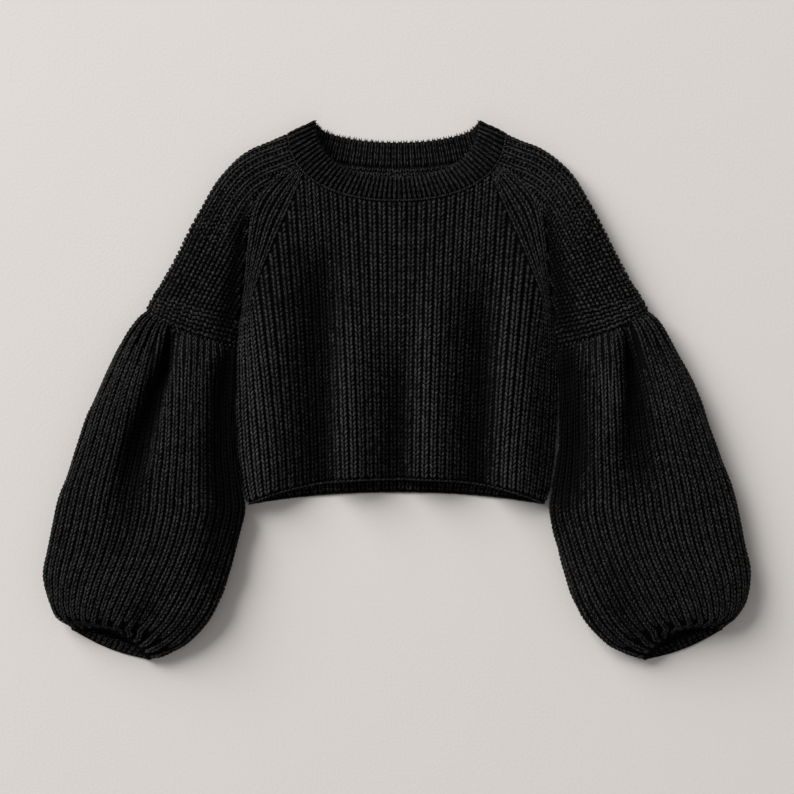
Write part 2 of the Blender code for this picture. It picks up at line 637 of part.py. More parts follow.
def make_sleeve_head(name, side, material):
    """Fitted upper sleeve, open along the raglan and at both ends."""
    levels = head_levels()
    last = len(levels) - 1
    points, ribs, fixed = [], [], {}
    flip = np.array([side, 1.0, 1.0])
    for r, level in enumerate(levels):
        row = between_rows(SLEEVE_HEAD, level)
        fall = HEAD_VALLEY * smoothstep(0.8, 4.0, level) * (1.0 - 0.6 * smoothstep(8.0, 10.0, level))
        line = head_section(row, fall)
        if r == last:
            line = line + np.array([0.0, GATHER_GAP, 0.0])
        points.append([tuple(point * flip) for point in line])
        ribs.append(head_ribs(r, last, line[:, 2]))
        if r in (0, last):
            directions = section_directions(line, line[0][:2], line[HEAD_RIBS * 2][:2])
            for c, direction in enumerate(directions):
                fixed[(r, c)] = tuple(direction * flip)
        plan = -side_plan(row.y)
        roll = min(max(row.roll, 0.0), 1.0)
        stand = seam_stand(row)
        if r < last:
            fixed[(r, 0)] = (plan[0] * roll * side, plan[1] * roll, 1.0 - roll)
            fixed[(r, len(line) - 1)] = (plan[0] * stand * side, plan[1] * stand, stand - 1.0)
    return grid_wall(name, [(points, ribs, False, fixed)], material)


def crease_depth(creases, along):
    """A function of the place across a balloon sleeve that gives the creases' depth."""
    parts = []
    for line in creases:
        at = column(line, "along")
        keys = ("across", "depth", "width")
        parts.append([np.interp(along, at, column(line, key)) for key in keys])

    def depth(q):
        return sum(d * np.exp(-(((q - x) / w) ** 2)) for x, d, w in parts)

    return depth


def tube_section(row, count, creases=(), along=0.0):
    """Middle line of a closed section of a balloon sleeve or cuff."""
    inner = np.array([row.inner_x, row.inner_y])
    outer = np.array([row.outer_x, row.outer_y])
    across = (outer - inner) / np.linalg.norm(outer - inner)
    start, fold = inner + across * (SKIN + SIDE_GAP), outer - across * FOLD_SKIN
    dents = crease_depth(creases, along) if creases else None
    top = top_line(start, fold, row.inner_z, row.outer_z, row.crown, row.round, row.bow,
                   count, dents)
    below = under_line(fold, start, row.outer_z, row.inner_z, -row.under_bow,
                       TUBE_UNDER_COLUMNS)
    return np.vstack([top, below[1:-1]])


def ring_directions(ring, count):
    """Outward directions of a closed section, in the upright plane of the section."""
    padded = np.vstack([ring[-1], ring, ring[0]])
    return section_directions(padded, ring[0][:2], ring[count][:2])[1:-1]


def tube_ribs(count, total, heights, rise):
    """Rib heights of one ring of a tube: over the top only, fading towards the floor."""
    line = []
    for c in range(total):
        crest = rib_wave(c, rise) if c <= count else 0.0
        line.append(crest * smoothstep(FREE, STANDING, heights[c]))
    return line


def make_balloon(name, side, creases, material):
    """Full lower sleeve, gathered into the sleeve head and into the cuff."""
    count = BALLOON_RIBS * 2
    flip = np.array([side, 1.0, 1.0])
    shares = 0.5 - 0.5 * np.cos(math.pi * even_shares(BALLOON_ROWS))
    shares = 0.5 * shares + 0.5 * even_shares(BALLOON_ROWS)
    points, ribs, fixed = [], [], {}
    for r, share in enumerate(shares):
        row = between_rows(BALLOON_SLEEVE, share * (len(BALLOON_SLEEVE) - 1))
        ring = tube_section(row, count, creases, share)
        rise = RIB_RISE * (1.0 + 0.4 * (1.0 - smoothstep(0.0, 0.2, share)))
        if r in (0, BALLOON_ROWS):
            rise = 0.0
            for c, direction in enumerate(ring_directions(ring, count)):
                fixed[(r, c)] = tuple(direction * flip)
        points.append([tuple(point * flip) for point in ring])
        ribs.append(tube_ribs(count, len(ring), ring[:, 2], rise))
    return grid_wall(name, [(points, ribs, True, fixed)], material)


def make_cuff(name, side, material):
    """Short ribbed cuff, its top edge set back from its lower edge."""
    count = CUFF_RIBS * 2
    flip = np.array([side, 1.0, 1.0])
    points, ribs, fixed = [], [], {}
    for r, row in enumerate(CUFF):
        ring = tube_section(row, count)
        ring = ring + np.array([0.36, -0.93, 0.0]) * CUFF_GAP
        for c, direction in enumerate(ring_directions(ring, count)):
            fixed[(r, c)] = tuple(direction * flip)
        rise = FINE_RIB_RISE if r else 0.0
        points.append([tuple(point * flip) for point in ring])
        ribs.append(tube_ribs(count, len(ring), ring[:, 2], rise))
    return grid_wall(name, [(points, ribs, True, fixed)], material)


# ---------------------------------------------------------------- neckband

def neck_seam():
    """Right half of the neck seam in three lines: over the front, under the shoulder, behind."""
    x = np.linspace(0.0, SLEEVE_HEAD[0].x, FINE_STEPS + 1)
    y = oval_y(x, NECK_X, NECK_Y, FRONT_NECK_DROP, FRONT_NECK_POWER)
    front = np.column_stack([x, y, front_height(x, y)])
    head = head_section(SLEEVE_HEAD[0])
    top, below = head[: HEAD_RIBS * 2 + 1], head[HEAD_RIBS * 2:]
    x = np.linspace(SLEEVE_HEAD[0].back_x, 0.0, FINE_STEPS + 1)
    y = oval_y(x, NECK_X, NECK_Y, BACK_NECK_DROP, 2.0)
    back = np.column_stack([x, y, np.full_like(x, FLOOR)])
    return np.vstack([front, top]), below, back


def neck_rim():
    """Right half of the neckband's rim, in the same three lines as the seam."""
    turn = even_shares(FINE_STEPS) * math.pi / 2
    x = RIM_X * np.sin(turn) ** (2.0 / FRONT_RIM_POWER)
    y = RIM_Y - FRONT_RIM_DROP * np.cos(turn) ** (2.0 / FRONT_RIM_POWER)
    fall = smoothstep(0.62, 1.0, x / RIM_X)
    front = np.column_stack([x, y, RIM_FRONT_Z + (RIM_SHOULDER_Z - RIM_FRONT_Z) * fall])
    turn = (1.0 - even_shares(FINE_STEPS)) * math.pi / 2
    x = RIM_X * np.sin(turn)
    y = RIM_Y - BACK_RIM_DROP * np.cos(turn)
    lie = smoothstep(0.0, 0.1, 1.0 - x / RIM_X)
    back = np.column_stack([x, y, RIM_SHOULDER_Z + (FLOOR - RIM_SHOULDER_Z) * lie])
    cut = len(back) // 5
    return front, back[: cut + 1], back[cut:]


def neck_directions(seam):
    """Outward directions along the neck seam: up in front, out round the shoulders, down behind."""
    first = SLEEVE_HEAD[0]
    start, fold = np.array([first.x, first.y]), np.array([first.outer_x, first.outer_y])
    directions = []
    for side in (1.0, -1.0):
        flip = np.array([side, 1.0, 1.0])
        directions.append(section_directions(seam * flip, start, fold) * flip)
    both = []
    for c, point in enumerate(seam):
        if abs(point[0]) > first.back_x and point[1] > first.y:
            both.append(directions[0][c] if point[0] > 0 else -directions[1][c])
        else:
            both.append(np.array([0.0, 0.0, 1.0 if point[2] > FREE else -1.0]))
    return both


def make_neckband(material):
    """Ribbed crew neckband: a full ring from the neck seam in to its rim."""
    counts = (NECK_RIBS * 2, HEAD_UNDER_COLUMNS, NECK_BACK_COLUMNS)
    seam, rim = [], []
    for seam_line, rim_line, count in zip(neck_seam(), neck_rim(), counts):
        seam.append(along_line(seam_line, even_shares(count)))
        rim.append(along_line(rim_line, even_shares(count)))
    seam = np.vstack([seam[0], seam[1][1:], seam[2][1:]])
    rim = np.vstack([rim[0], rim[1][1:], rim[2][1:]])
    mirror = np.array([-1.0, 1.0, 1.0])
    seam = np.vstack([seam, seam[-2:0:-1] * mirror])
    rim = np.vstack([rim, rim[-2:0:-1] * mirror])
    fixed = {(0, c): tuple(direction) for c, direction in enumerate(neck_directions(seam))}
    across = rim - seam
    seam = seam + across * (NECK_GAP / np.linalg.norm(across, axis=1))[:, None]
    middle = (seam + rim) / 2
    middle[:, 2] += BAND_ARCH * smoothstep(FREE, RIM_FRONT_Z, middle[:, 2])
    points, ribs = [], []
    for ring, share in ((seam, 0.0), (middle, 1.0), (rim, 0.8)):
        points.append([tuple(point) for point in ring])
        ribs.append([rib_wave(c, FINE_RIB_RISE * share) * smoothstep(FREE, STANDING, p[2])
                     for c, p in enumerate(ring)])
    return grid_wall("neckband", [(points, ribs, True, fixed)], material)


# ---------------------------------------------------------------- assembly

def clear_scene():
    """Removes every object of the scene."""
    for item in list(bpy.data.objects):
        bpy.data.objects.remove(item, do_unlink=True)


def knit_material(name, colour):
    """Matt wool of one colour."""
    material = bpy.data.materials.new(name)
    material.use_nodes = True
    shader = material.node_tree.nodes["Principled BSDF"]
    shader.inputs["Base Color"].default_value = (*colour, 1.0)
    shader.inputs["Roughness"].default_value = 0.92
    shader.inputs["Metallic"].default_value = 0.0
    material.diffuse_color = (*colour, 1.0)
    return material


def main():
    """Builds the sweater's pieces in their own collection."""
    clear_scene()
    collection = bpy.data.collections.new("cropped_knit_sweater")
    bpy.context.scene.collection.children.link(collection)
    pieces = [
        make_front(knit_material("front_wool", WOOL)),
        make_back(knit_material("back_wool", WOOL)),
        make_neckband(knit_material("neckband_wool", WOOL)),
    ]
    for word, side, creases in (("left", -1.0, LEFT_CREASES), ("right", 1.0, RIGHT_CREASES)):
        head_wool = knit_material(f"sleeve_head_{word}_wool", WOOL)
        balloon_wool = knit_material(f"balloon_sleeve_{word}_wool", WOOL)
        cuff_wool = knit_material(f"cuff_{word}_wool", WOOL)
        pieces.append(make_sleeve_head(f"sleeve_head_{word}", side, head_wool))
        pieces.append(make_balloon(f"balloon_sleeve_{word}", side, creases, balloon_wool))
        pieces.append(make_cuff(f"cuff_{word}", side, cuff_wool))
    for piece in pieces:
        collection.objects.link(piece)


main()
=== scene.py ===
"""Cropped knit sweater with balloon sleeves, laid flat on its back panel.

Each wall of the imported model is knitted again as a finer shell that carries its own
stitches: a rib is a column of leaning yarn legs in pairs. Lengths are in millimetres
until a mesh is made, and in metres from there on.
"""
import logging
import math
from dataclasses import dataclass, replace
from enum import Enum
from typing import Any, Callable, NamedTuple, Optional, Sequence, Union

import bpy
import numpy as np
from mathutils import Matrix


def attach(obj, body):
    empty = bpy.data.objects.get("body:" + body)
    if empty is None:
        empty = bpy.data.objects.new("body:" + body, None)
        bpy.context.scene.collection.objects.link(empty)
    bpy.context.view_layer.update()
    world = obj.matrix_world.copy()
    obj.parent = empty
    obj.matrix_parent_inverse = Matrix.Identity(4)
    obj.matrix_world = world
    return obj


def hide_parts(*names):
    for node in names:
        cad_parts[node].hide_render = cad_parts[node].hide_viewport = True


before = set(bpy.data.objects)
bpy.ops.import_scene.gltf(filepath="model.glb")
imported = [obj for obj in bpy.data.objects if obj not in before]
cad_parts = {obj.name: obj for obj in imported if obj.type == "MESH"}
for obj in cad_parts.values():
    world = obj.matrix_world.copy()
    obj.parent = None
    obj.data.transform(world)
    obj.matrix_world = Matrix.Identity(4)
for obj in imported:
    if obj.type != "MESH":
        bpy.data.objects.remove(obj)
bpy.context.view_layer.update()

LOG = logging.getLogger("sweater")
Array, Finish, Piece = np.ndarray, bpy.types.Material, bpy.types.Object
Depth = Callable[[Array], Array]       # depth of the dents at shares of the way across a section
MM = 0.001

WALL = 3.5                             # thickness of a wall in the furrow between two ribs
RIB_RISE = 1.8                         # how far a rib stands out of its wall
SEAM_GAP = 0.3                         # space between two pieces at a seam
NECK_GAP, CUFF_GAP, GATHER_GAP, SIDE_GAP = 0.65, 0.7, 0.5, 0.5
ROW = 5.95                             # height of one stitch
SKIN = WALL / 2 + RIB_RISE             # from a wall's middle to the crest of its ribs
SIDE_SKIN = SKIN - 1.7                 # from a wall's middle to the outline beside the body
FOLD_SKIN = WALL / 2 + 0.3 * RIB_RISE  # the same at the fold of a sleeve
FLOOR = WALL / 2                       # middle of a wall that lies flat
FREE, STANDING = FLOOR + 2.0, FLOOR + 9.0   # heights between which a wall lifts off the floor
FULL_LIFT = 8.0                        # lift from which a side is held back by its whole skin
LEAST_INNER = 0.4                      # the lowest that an inner face comes
WELD = 20.0                            # points that share 1 / WELD of a millimetre are one
LINE_STEPS = 160                       # steps of a line before it is spaced along the cloth
UNDER_CURL = 9                         # how tightly an underside curls up to its sides
LEAST_CURL = 0.05                      # lift under which it lies flat
MIRROR = np.array([-1.0, 1.0, 1.0])


class Side(Enum):
    """The two sides of the garment, as it lies."""

    LEFT = "left"
    RIGHT = "right"

    def pick(self, left: Any, right: Any) -> Any:
        """One value on the left side and another on the right."""
        return left if self is Side.LEFT else right


# ------------------------------------------------------------------ small sums


def smooth(low: float, high: float, value: Any) -> Any:
    """0 below low, 1 above high, and a smooth rise between them."""
    t = np.clip((value - low) / (high - low), 0.0, 1.0)
    return t * t * (3.0 - 2.0 * t)


def clear(height: Any) -> Any:
    """0 where a wall lies on the floor, and 1 where it stands clear of it."""
    return smooth(FREE, STANDING, height)


def unit(vectors: Array) -> Array:
    """The same directions with length one."""
    return vectors / np.maximum(np.linalg.norm(vectors, axis=-1, keepdims=True), 1e-9)


def shares(count: int) -> Array:
    """Equally spaced shares from 0 to 1, in count steps."""
    return np.linspace(0.0, 1.0, count + 1)


def bunched(count: int) -> Array:
    """Shares from 0 to 1 that crowd together at both ends."""
    return 0.5 - 0.5 * np.cos(math.pi * shares(count))


def crests(places: Array) -> Array:
    """0 at every whole number and 1 halfway between them."""
    return 0.5 - 0.5 * np.cos(2 * math.pi * places)


def paired(count: int) -> Array:
    """Two places in each of a number of ribs."""
    return np.arange(0.25, count, 0.5)


def column(rows: Sequence[Any], name: str) -> Array:
    """The named column of a table."""
    return np.array([getattr(row, name) for row in rows])


def between(rows: Sequence[Any], at: float) -> Any:
    """Reads a table at a fractional place, on a smooth curve through its rows.

    Args:
        rows: rows of one named table.
        at: place in the table, in rows.

    Returns:
        A row of the same kind.
    """
    last = len(rows) - 1
    i = min(max(int(at), 0), last - 1)
    t = min(max(at - i, 0.0), 1.0)
    start, end = np.array(rows[i]), np.array(rows[i + 1])
    before = np.array(rows[i - 1]) if i > 0 else 2 * start - end
    after = np.array(rows[i + 2]) if i + 2 <= last else 2 * end - start
    values = start + (end - start) * t * t * (3 - 2 * t)
    values += (end - before) / 2 * (t - 2 * t * t + t ** 3)
    values += (after - start) / 2 * (t ** 3 - t * t)
    return type(rows[0])(*values)


def resampled(values: Array, count: int) -> Array:
    """The same run of values, read in a number of even steps."""
    return np.interp(shares(count) * (len(values) - 1), np.arange(len(values)), values)


def run_length(points: Array, axis: int = 0) -> Array:
    """Distance of every point from the first one along an axis of their grid."""
    steps = np.diff(points, axis=axis, prepend=np.take(points, [0], axis))
    return np.cumsum(np.linalg.norm(steps, axis=-1), axis=axis)


def along_line(points: Array, places: Array) -> Array:
    """Points at the given shares of a line's length.

    Args:
        points: points of the line, in order.
        places: shares of its length.

    Returns:
        One point for each share.
    """
    points = np.array(points, float)
    length = run_length(points)
    at = np.array(places) * length[-1]
    return np.column_stack([np.interp(at, length, points[:, k]) for k in range(points.shape[1])])


# ------------------------------------------------------------------ shader sums


class Shade:
    """A shader socket that takes part in ordinary sums."""

    def __init__(self, dye: "Dye", socket: bpy.types.NodeSocket) -> None:
        """Wraps one output socket of a material."""
        self.dye, self.socket = dye, socket

    def sum(self, operation: str, first: Any, second: Any = 0.0) -> "Shade":
        """One Math node on two values or sockets."""
        return self.dye.read("ShaderNodeMath", {"operation": operation}, {0: first, 1: second})

    def __add__(self, other: Any) -> "Shade":
        """self + other."""
        return self.sum("ADD", self, other)

    __radd__ = __add__

    def __mul__(self, other: Any) -> "Shade":
        """self * other."""
        return self.sum("MULTIPLY", self, other)

    __rmul__ = __mul__

    def __sub__(self, other: Any) -> "Shade":
        """self - other."""
        return self.sum("SUBTRACT", self, other)

    def __rsub__(self, other: Any) -> "Shade":
        """other - self."""
        return self.sum("SUBTRACT", other, self)

    def __abs__(self) -> "Shade":
        """Size of self, without its sign."""
        return self.sum("ABSOLUTE", self)

    def fraction(self) -> "Shade":
        """What is left of self over the last whole number."""
        return self.sum("FRACT", self)

    def whole(self) -> "Shade":
        """The last whole number under self."""
        return self.sum("FLOOR", self)

    def wave(self) -> "Shade":
        """A wave from -1 to 1, once for each whole number."""
        return self.sum("SINE", self * (2 * math.pi))

    def hump(self) -> "Shade":
        """A rise from 0 to 1 and back over each whole number."""
        return self.sum("SINE", self.fraction() * math.pi)

    def at_least(self, other: Any) -> "Shade":
        """The larger of self and other."""
        return self.sum("MAXIMUM", self, other)


class Dye:
    """One material and the nodes in it."""

    def __init__(self, name: str) -> None:
        """Starts an empty material."""
        self.material = bpy.data.materials.new(name)
        self.material.use_nodes = True
        self.tree = self.material.node_tree
        self.tree.nodes.clear()

    def node(self, kind: str, settings: Optional[dict[str, Any]] = None,
             sockets: Optional[dict[Union[int, str], Any]] = None) -> bpy.types.Node:
        """Adds a node.

        Args:
            kind: the node's type.
            settings: its settings, which are set first.
            sockets: values or links of its input sockets.

        Returns:
            The new node.
        """
        made = self.tree.nodes.new(kind)
        for key, value in (settings or {}).items():
            setattr(made, key, value)
        for key, value in (sockets or {}).items():
            if isinstance(value, Shade):
                self.tree.links.new(value.socket, made.inputs[key])
            else:
                made.inputs[key].default_value = value
        return made

    def read(self, kind: str, settings: Optional[dict[str, Any]] = None,
             sockets: Optional[dict[Union[int, str], Any]] = None,
             output: Union[int, str] = 0) -> Shade:
        """Adds a node and gives one of its outputs."""
        return Shade(self, self.node(kind, settings, sockets).outputs[output])

    def blend(self, share: Any, first: Sequence[float], second: Sequence[float]) -> Shade:
        """Mixes two colours.

        Args:
            share: how much of the second colour shows.
            first: colour at 0.
            second: colour at 1.

        Returns:
            The mixed colour.
        """
        sockets = {0: share, 6: (*first, 1.0), 7: (*second, 1.0)}
        return self.read("ShaderNodeMix", {"data_type": "RGBA"}, sockets, 2)

    def grain(self, size: float, detail: float = 2.0) -> Shade:
        """Noise fixed to the object, with lumps of about the given size in metres."""
        place = self.read("ShaderNodeTexCoord", output="Object")
        sockets = {"Vector": place, "Scale": 1.0 / size, "Detail": detail}
        return self.read("ShaderNodeTexNoise", None, sockets)

    def across_and_up(self) -> tuple[Shade, Shade]:
        """The two directions of the cloth that its map holds."""
        place = self.read("ShaderNodeTexCoord", output="UV")
        parts = self.node("ShaderNodeSeparateXYZ", None, {0: place})
        return Shade(self, parts.outputs[0]), Shade(self, parts.outputs[1])

    def finish(self, sockets: dict[str, Any], height: Shade, depth: float) -> Finish:
        """Ends the material in one shader.

        Args:
            sockets: values or links of the shader's sockets.
            height: relief, from 0 to 1.
            depth: how deep that relief is, in metres.

        Returns:
            The material.
        """
        bump = {"Height": height, "Distance": depth, "Strength": 1.0}
        sockets = {**sockets, "Normal": self.read("ShaderNodeBump", None, bump)}
        shader = self.node("ShaderNodeBsdfPrincipled", None, sockets)
        self.node("ShaderNodeOutputMaterial", None, {0: Shade(self, shader.outputs[0])})
        return self.material


@dataclass(frozen=True)
class Yarn:
    """Charcoal black wool yarn, softly plied, for the stitches that stand out."""

    name: str = "charcoal_yarn"
    # deep is the yarn's own dark colour; light is the colour of its painted highlight specks
    deep: tuple[float, float, float] = (0.0012, 0.0012, 0.0012)
    light: tuple[float, float, float] = (0.088, 0.088, 0.089)
    roughness: float = 0.55
    specular: float = 0.07
    sheen: float = 0.006
    plies: int = 3
    fibre: float = 0.0006
    glint_size: float = 0.0014      # size of the specks of painted highlight, where fibres would catch the light
    tones: int = 32            # shades of the stitches, darkest first
    open_tone: int = 20        # tone of a stitch on open cloth; painted shade lowers it to the darkest in a deep fold, painted light raises it on a ridge
    spread: int = 3            # how far stitches side by side differ
    shade_gain: float = 1.35    # how far painted shade darkens a stitch's colour in a deep fold
    fold_rough: float = 0.4    # how much rougher it is there
    glint_gain: float = 2.6         # how sharply the painted highlight specks stand out
    glint_level: float = 0.435   # tone of the noise at which they start
    relief: float = 0.0006     # depth of the twist and the fibres, in metres

    def material(self) -> Finish:
        """Yarn with a ply twist and loose fibres; its colour differs at random from stitch to
        stitch and carries painted highlight specks, painted shade in folds and ply grooves, and
        painted light on ridges.
        """
        dye = Dye(self.name)
        around, along = dye.across_and_up()
        twist = (around * self.plies + along * 2.0).wave() * 0.5 + 0.5
        fuzz = dye.grain(self.fibre, 3.0)
        # tone of each stitch: random, with painted shade in folds and painted light on ridges
        shade = (around.whole() - self.open_tone) * (1.0 / self.tones)
        # noise specks brightened into painted highlights, then painted shade and light from the
        # stitch's tone
        glints_and_shade = (dye.grain(self.glint_size, 2.0) - self.glint_level) * self.glint_gain
        glints_and_shade = glints_and_shade + shade * self.shade_gain
        sockets = {
            # base colour: painted highlights and shade, and ply crests a little lighter, painted
            # shade in the ply grooves
            "Base Color": dye.blend(glints_and_shade * 0.8 + twist * 0.12, self.deep, self.light),
            "Roughness": self.roughness - shade * self.fold_rough,
            "Specular IOR Level": self.specular,
            "Sheen Weight": self.sheen,
            "Sheen Roughness": 0.5,
            "Sheen Tint": (0.75, 0.75, 0.76, 1.0),
        }
        return dye.finish(sockets, twist * 0.45 + fuzz * 0.55, self.relief)


@dataclass(frozen=True)
class Ground:
    """The knitted ground between and behind the stitches, with its own small stitches; its colour
    is far darker than the yarn's, painted shade for the gaps between stitches, and darker still in
    its furrows, painted shade there too.
    """

    name: str = "charcoal_ground"
    # furrow and crest colours: painted shade, the furrows darkest
    furrow: tuple[float, float, float] = (0.0008, 0.0008, 0.0009)
    crest: tuple[float, float, float] = (0.0040, 0.0040, 0.0042)
    leg_place: float = 0.21    # a leg's distance from the middle of its rib, in ribs
    leg_sharp: float = 4.6     # how sharply it falls off to its sides
    lean: float = 1.1          # how far it leans, in rows to a rib
    fibre: float = 0.002       # size of the lumps in its tone
    fuzz: float = 0.0008       # and in its relief
    relief: float = 0.0011     # depth of the stitches, in metres

    def material(self) -> Finish:
        """Ribs of paired leaning stitches, drawn in the map of the cloth."""
        dye = Dye(self.name)
        rib, row = dye.across_and_up()
        aside = abs(rib.fraction() - 0.5)
        offset = (aside - self.leg_place) * self.leg_sharp
        leg = (1.0 - offset * offset).at_least(0.0)
        height = leg * ((row - aside * self.lean).hump() * 0.6 + 0.4)
        sockets = {
            # painted shade: darker in the furrows of the drawn stitches
            "Base Color": dye.blend(height * 0.8 + dye.grain(self.fibre) * 0.2,
                                    self.furrow, self.crest),
            "Roughness": 0.85,
            "Specular IOR Level": 0.04,
        }
        return dye.finish(sockets, height + dye.grain(self.fuzz) * 0.25, self.relief)


@dataclass(frozen=True)
class Paper:
    """Pale matt paper under the garment."""

    name: str = "pale_paper"
    low: tuple[float, float, float] = (0.775, 0.748, 0.728)
    high: tuple[float, float, float] = (0.800, 0.773, 0.753)

    def material(self) -> Finish:
        """Plain paper with a barely uneven tone and tooth."""
        dye = Dye(self.name)
        tooth = dye.grain(0.004, 4.0)
        tone = dye.grain(0.25, 2.0)
        sockets = {
            "Base Color": dye.blend(tone * 0.6 + tooth * 0.4, self.low, self.high),
            "Roughness": 0.95,
            "Specular IOR Level": 0.1,
        }
        return dye.finish(sockets, tooth, 0.0002)


# ------------------------------------------------------------------ cloth and yarn


def placed(name: str, data: bpy.types.ID) -> Piece:
    """Makes an object of some data and puts it in the scene."""
    made = bpy.data.objects.new(name, data)
    bpy.context.scene.collection.objects.link(made)
    return made


def make_piece(name: str, points: Array, faces: Sequence[Array], maps: Sequence[Array],
               material: Finish) -> Piece:
    """Makes a smooth mesh that rides on the garment.

    Args:
        name: name of the piece.
        points: its points, in millimetres.
        faces: arrays of faces, each with one number of corners.
        maps: for each array of faces, the place of each corner in the cloth's map.
        material: its finish.

    Returns:
        The new object, in the scene.
    """
    mesh = bpy.data.meshes.new(name)
    mesh.vertices.add(len(points))
    mesh.vertices.foreach_set("co", (points * MM).astype(np.float32).ravel())
    corners = np.concatenate([part.ravel() for part in faces])
    sizes = np.concatenate([np.full(len(part), part.shape[1]) for part in faces])
    mesh.loops.add(len(corners))
    mesh.loops.foreach_set("vertex_index", corners.astype(np.int32))
    mesh.polygons.add(len(sizes))
    starts = np.concatenate([[0], np.cumsum(sizes)[:-1]])
    mesh.polygons.foreach_set("loop_start", starts.astype(np.int32))
    mesh.update(calc_edges=True)
    places = np.concatenate([part.reshape(-1) for part in maps])
    mesh.uv_layers.new(name="cloth").data.foreach_set("uv", places.astype(np.float32))
    mesh.polygons.foreach_set("use_smooth", np.ones(len(sizes), dtype=bool))
    mesh.materials.append(material)
    piece = placed(name, mesh)
    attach(piece, "root")
    return piece


@dataclass
class Cloth:
    """A stretch of knitted wall: middle points in rows up the knitting.

    Fields:
        points: middle points by row and column; columns run so that the outside faces out.
        wales: rib number of each column or point, rising along a row and whole in a furrow.
        closed: whether the last column repeats the first.
        fold_shade: painted shade of each point, from how deep it lies in a fold: 0 on open cloth,
            1 at the darkest, and below 0 for painted light on a ridge.
    """

    points: Array
    wales: Array
    closed: bool = False
    fold_shade: Any = 0.0

    def __post_init__(self) -> None:
        """Works out the directions of the cloth."""
        self.wales = np.broadcast_to(self.wales, self.points.shape[:2])
        self.fold_shade = np.broadcast_to(self.fold_shade, self.points.shape[:2])
        grid = self.points
        if self.closed:
            grid = np.concatenate([grid[:, -2:-1], grid, grid[:, 1:2]], axis=1)
        self.up, self.right = np.gradient(grid, axis=0), np.gradient(grid, axis=1)
        if self.closed:
            self.up, self.right = self.up[:, 1:-1], self.right[:, 1:-1]
        self.normal = unit(np.cross(self.right, self.up))

    def inside(self) -> "Cloth":
        """The same cloth seen from its other face."""
        total = math.floor(self.wales.min()) + math.ceil(self.wales.max())
        return replace(self, points=self.points[:, ::-1], wales=total - self.wales[:, ::-1],
                       fold_shade=self.fold_shade[:, ::-1])

    def mirrored(self) -> "Cloth":
        """The same cloth on the garment's other side."""
        other = self.inside()
        return replace(other, points=other.points * MIRROR)

    def stretch(self, first: int, last: Optional[int]) -> "Cloth":
        """Some of its rows."""
        return replace(self, points=self.points[first:last], wales=self.wales[first:last],
                       fold_shade=self.fold_shade[first:last])

    def swollen(self, rise: Array) -> "Cloth":
        """The same cloth with each point moved out by its own amount."""
        return replace(self, points=self.points + self.normal * rise[..., None])

    def read(self, grid: Array, v: Array, u: Array) -> Array:
        """Reads a grid of vectors between its points.

        Args:
            grid: one vector for each point of the cloth.
            v: places up the cloth, in rows.
            u: places across it, in columns.

        Returns:
            One vector for each place.
        """
        i = np.clip(v.astype(int), 0, grid.shape[0] - 2)
        j = np.clip(u.astype(int), 0, grid.shape[1] - 2)
        a, b = (v - i)[..., None], (u - j)[..., None]
        low = grid[i, j] * (1 - b) + grid[i, j + 1] * b
        high = grid[i + 1, j] * (1 - b) + grid[i + 1, j + 1] * b
        return low * (1 - a) + high * a

    def track(self, wale: float) -> tuple[Array, Array]:
        """Where a rib runs.

        Args:
            wale: the rib's number.

        Returns:
            Its column in every row, and whether the row holds it.
        """
        places, rim = np.arange(self.wales.shape[1]), 0.05
        u = np.array([np.interp(wale, row, places) for row in self.wales])
        held = (wale > self.wales.min(axis=1) + rim) & (wale < self.wales.max(axis=1) - rim)
        return u, held

    def along(self, u: Array, v: Array) -> Array:
        """Points at places up the cloth, on a line that has its own column in every row."""
        return self.read(self.points, v, np.interp(v, np.arange(len(u)), u))

    def rows_up(self) -> Array:
        """Distance of every point from the first row."""
        return run_length(self.points)


@dataclass(frozen=True)
class Gauge:
    """How yarn is knitted in one area."""

    row: float = ROW         # height of one stitch
    reach: float = 1.38      # length of a leg over that height
    spread: float = 0.21     # a leg's distance from the middle of its rib, in ribs
    width: float = 3.2       # width of a leg
    fill: float = 0.40       # the most that a leg takes of its rib
    over: float = 1.5        # half the thickness of a leg
    lift: float = 2.2        # height of a leg's middle over the wall's middle
    slant: float = 21.0      # lean of a leg off the rib's line, in degrees
    tilt: float = 5.0        # turn of a leg round the rib's crest, in degrees
    uneven: float = 0.28     # how unevenly a rib stands out
    loose: float = 1.5       # how unevenly its legs lie
    legs: tuple[float, ...] = (-1.0, 1.0)   # its leg columns: left of its middle, right of it
    short: float = 1.0       # length of the lowest legs, as a share of the others'
    short_run: tuple[float, float] = (0.0, 0.4)     # shares of the way up over which they grow
    slim: float = 0.0        # how much narrower the highest legs are
    slim_run: tuple[float, float] = (0.70, 0.88)    # shares of the way up over which they slim
    level: bool = False      # whether the rows of all ribs lie level with each other
    grounded: bool = True    # whether a rib flattens towards the floor


@dataclass(frozen=True)
class Chain:
    """A row of legs along an edge, such as a cast-off."""

    length: float            # length of a leg, in ribs
    breadth: float           # half its width
    over: float              # half its thickness
    out: float               # how far the chain stands down off its row
    lift: float              # height of its middle over the wall's middle
    lean: float              # turn of each leg off the row, in degrees
    row: float = 0.0         # place up the cloth, in rows


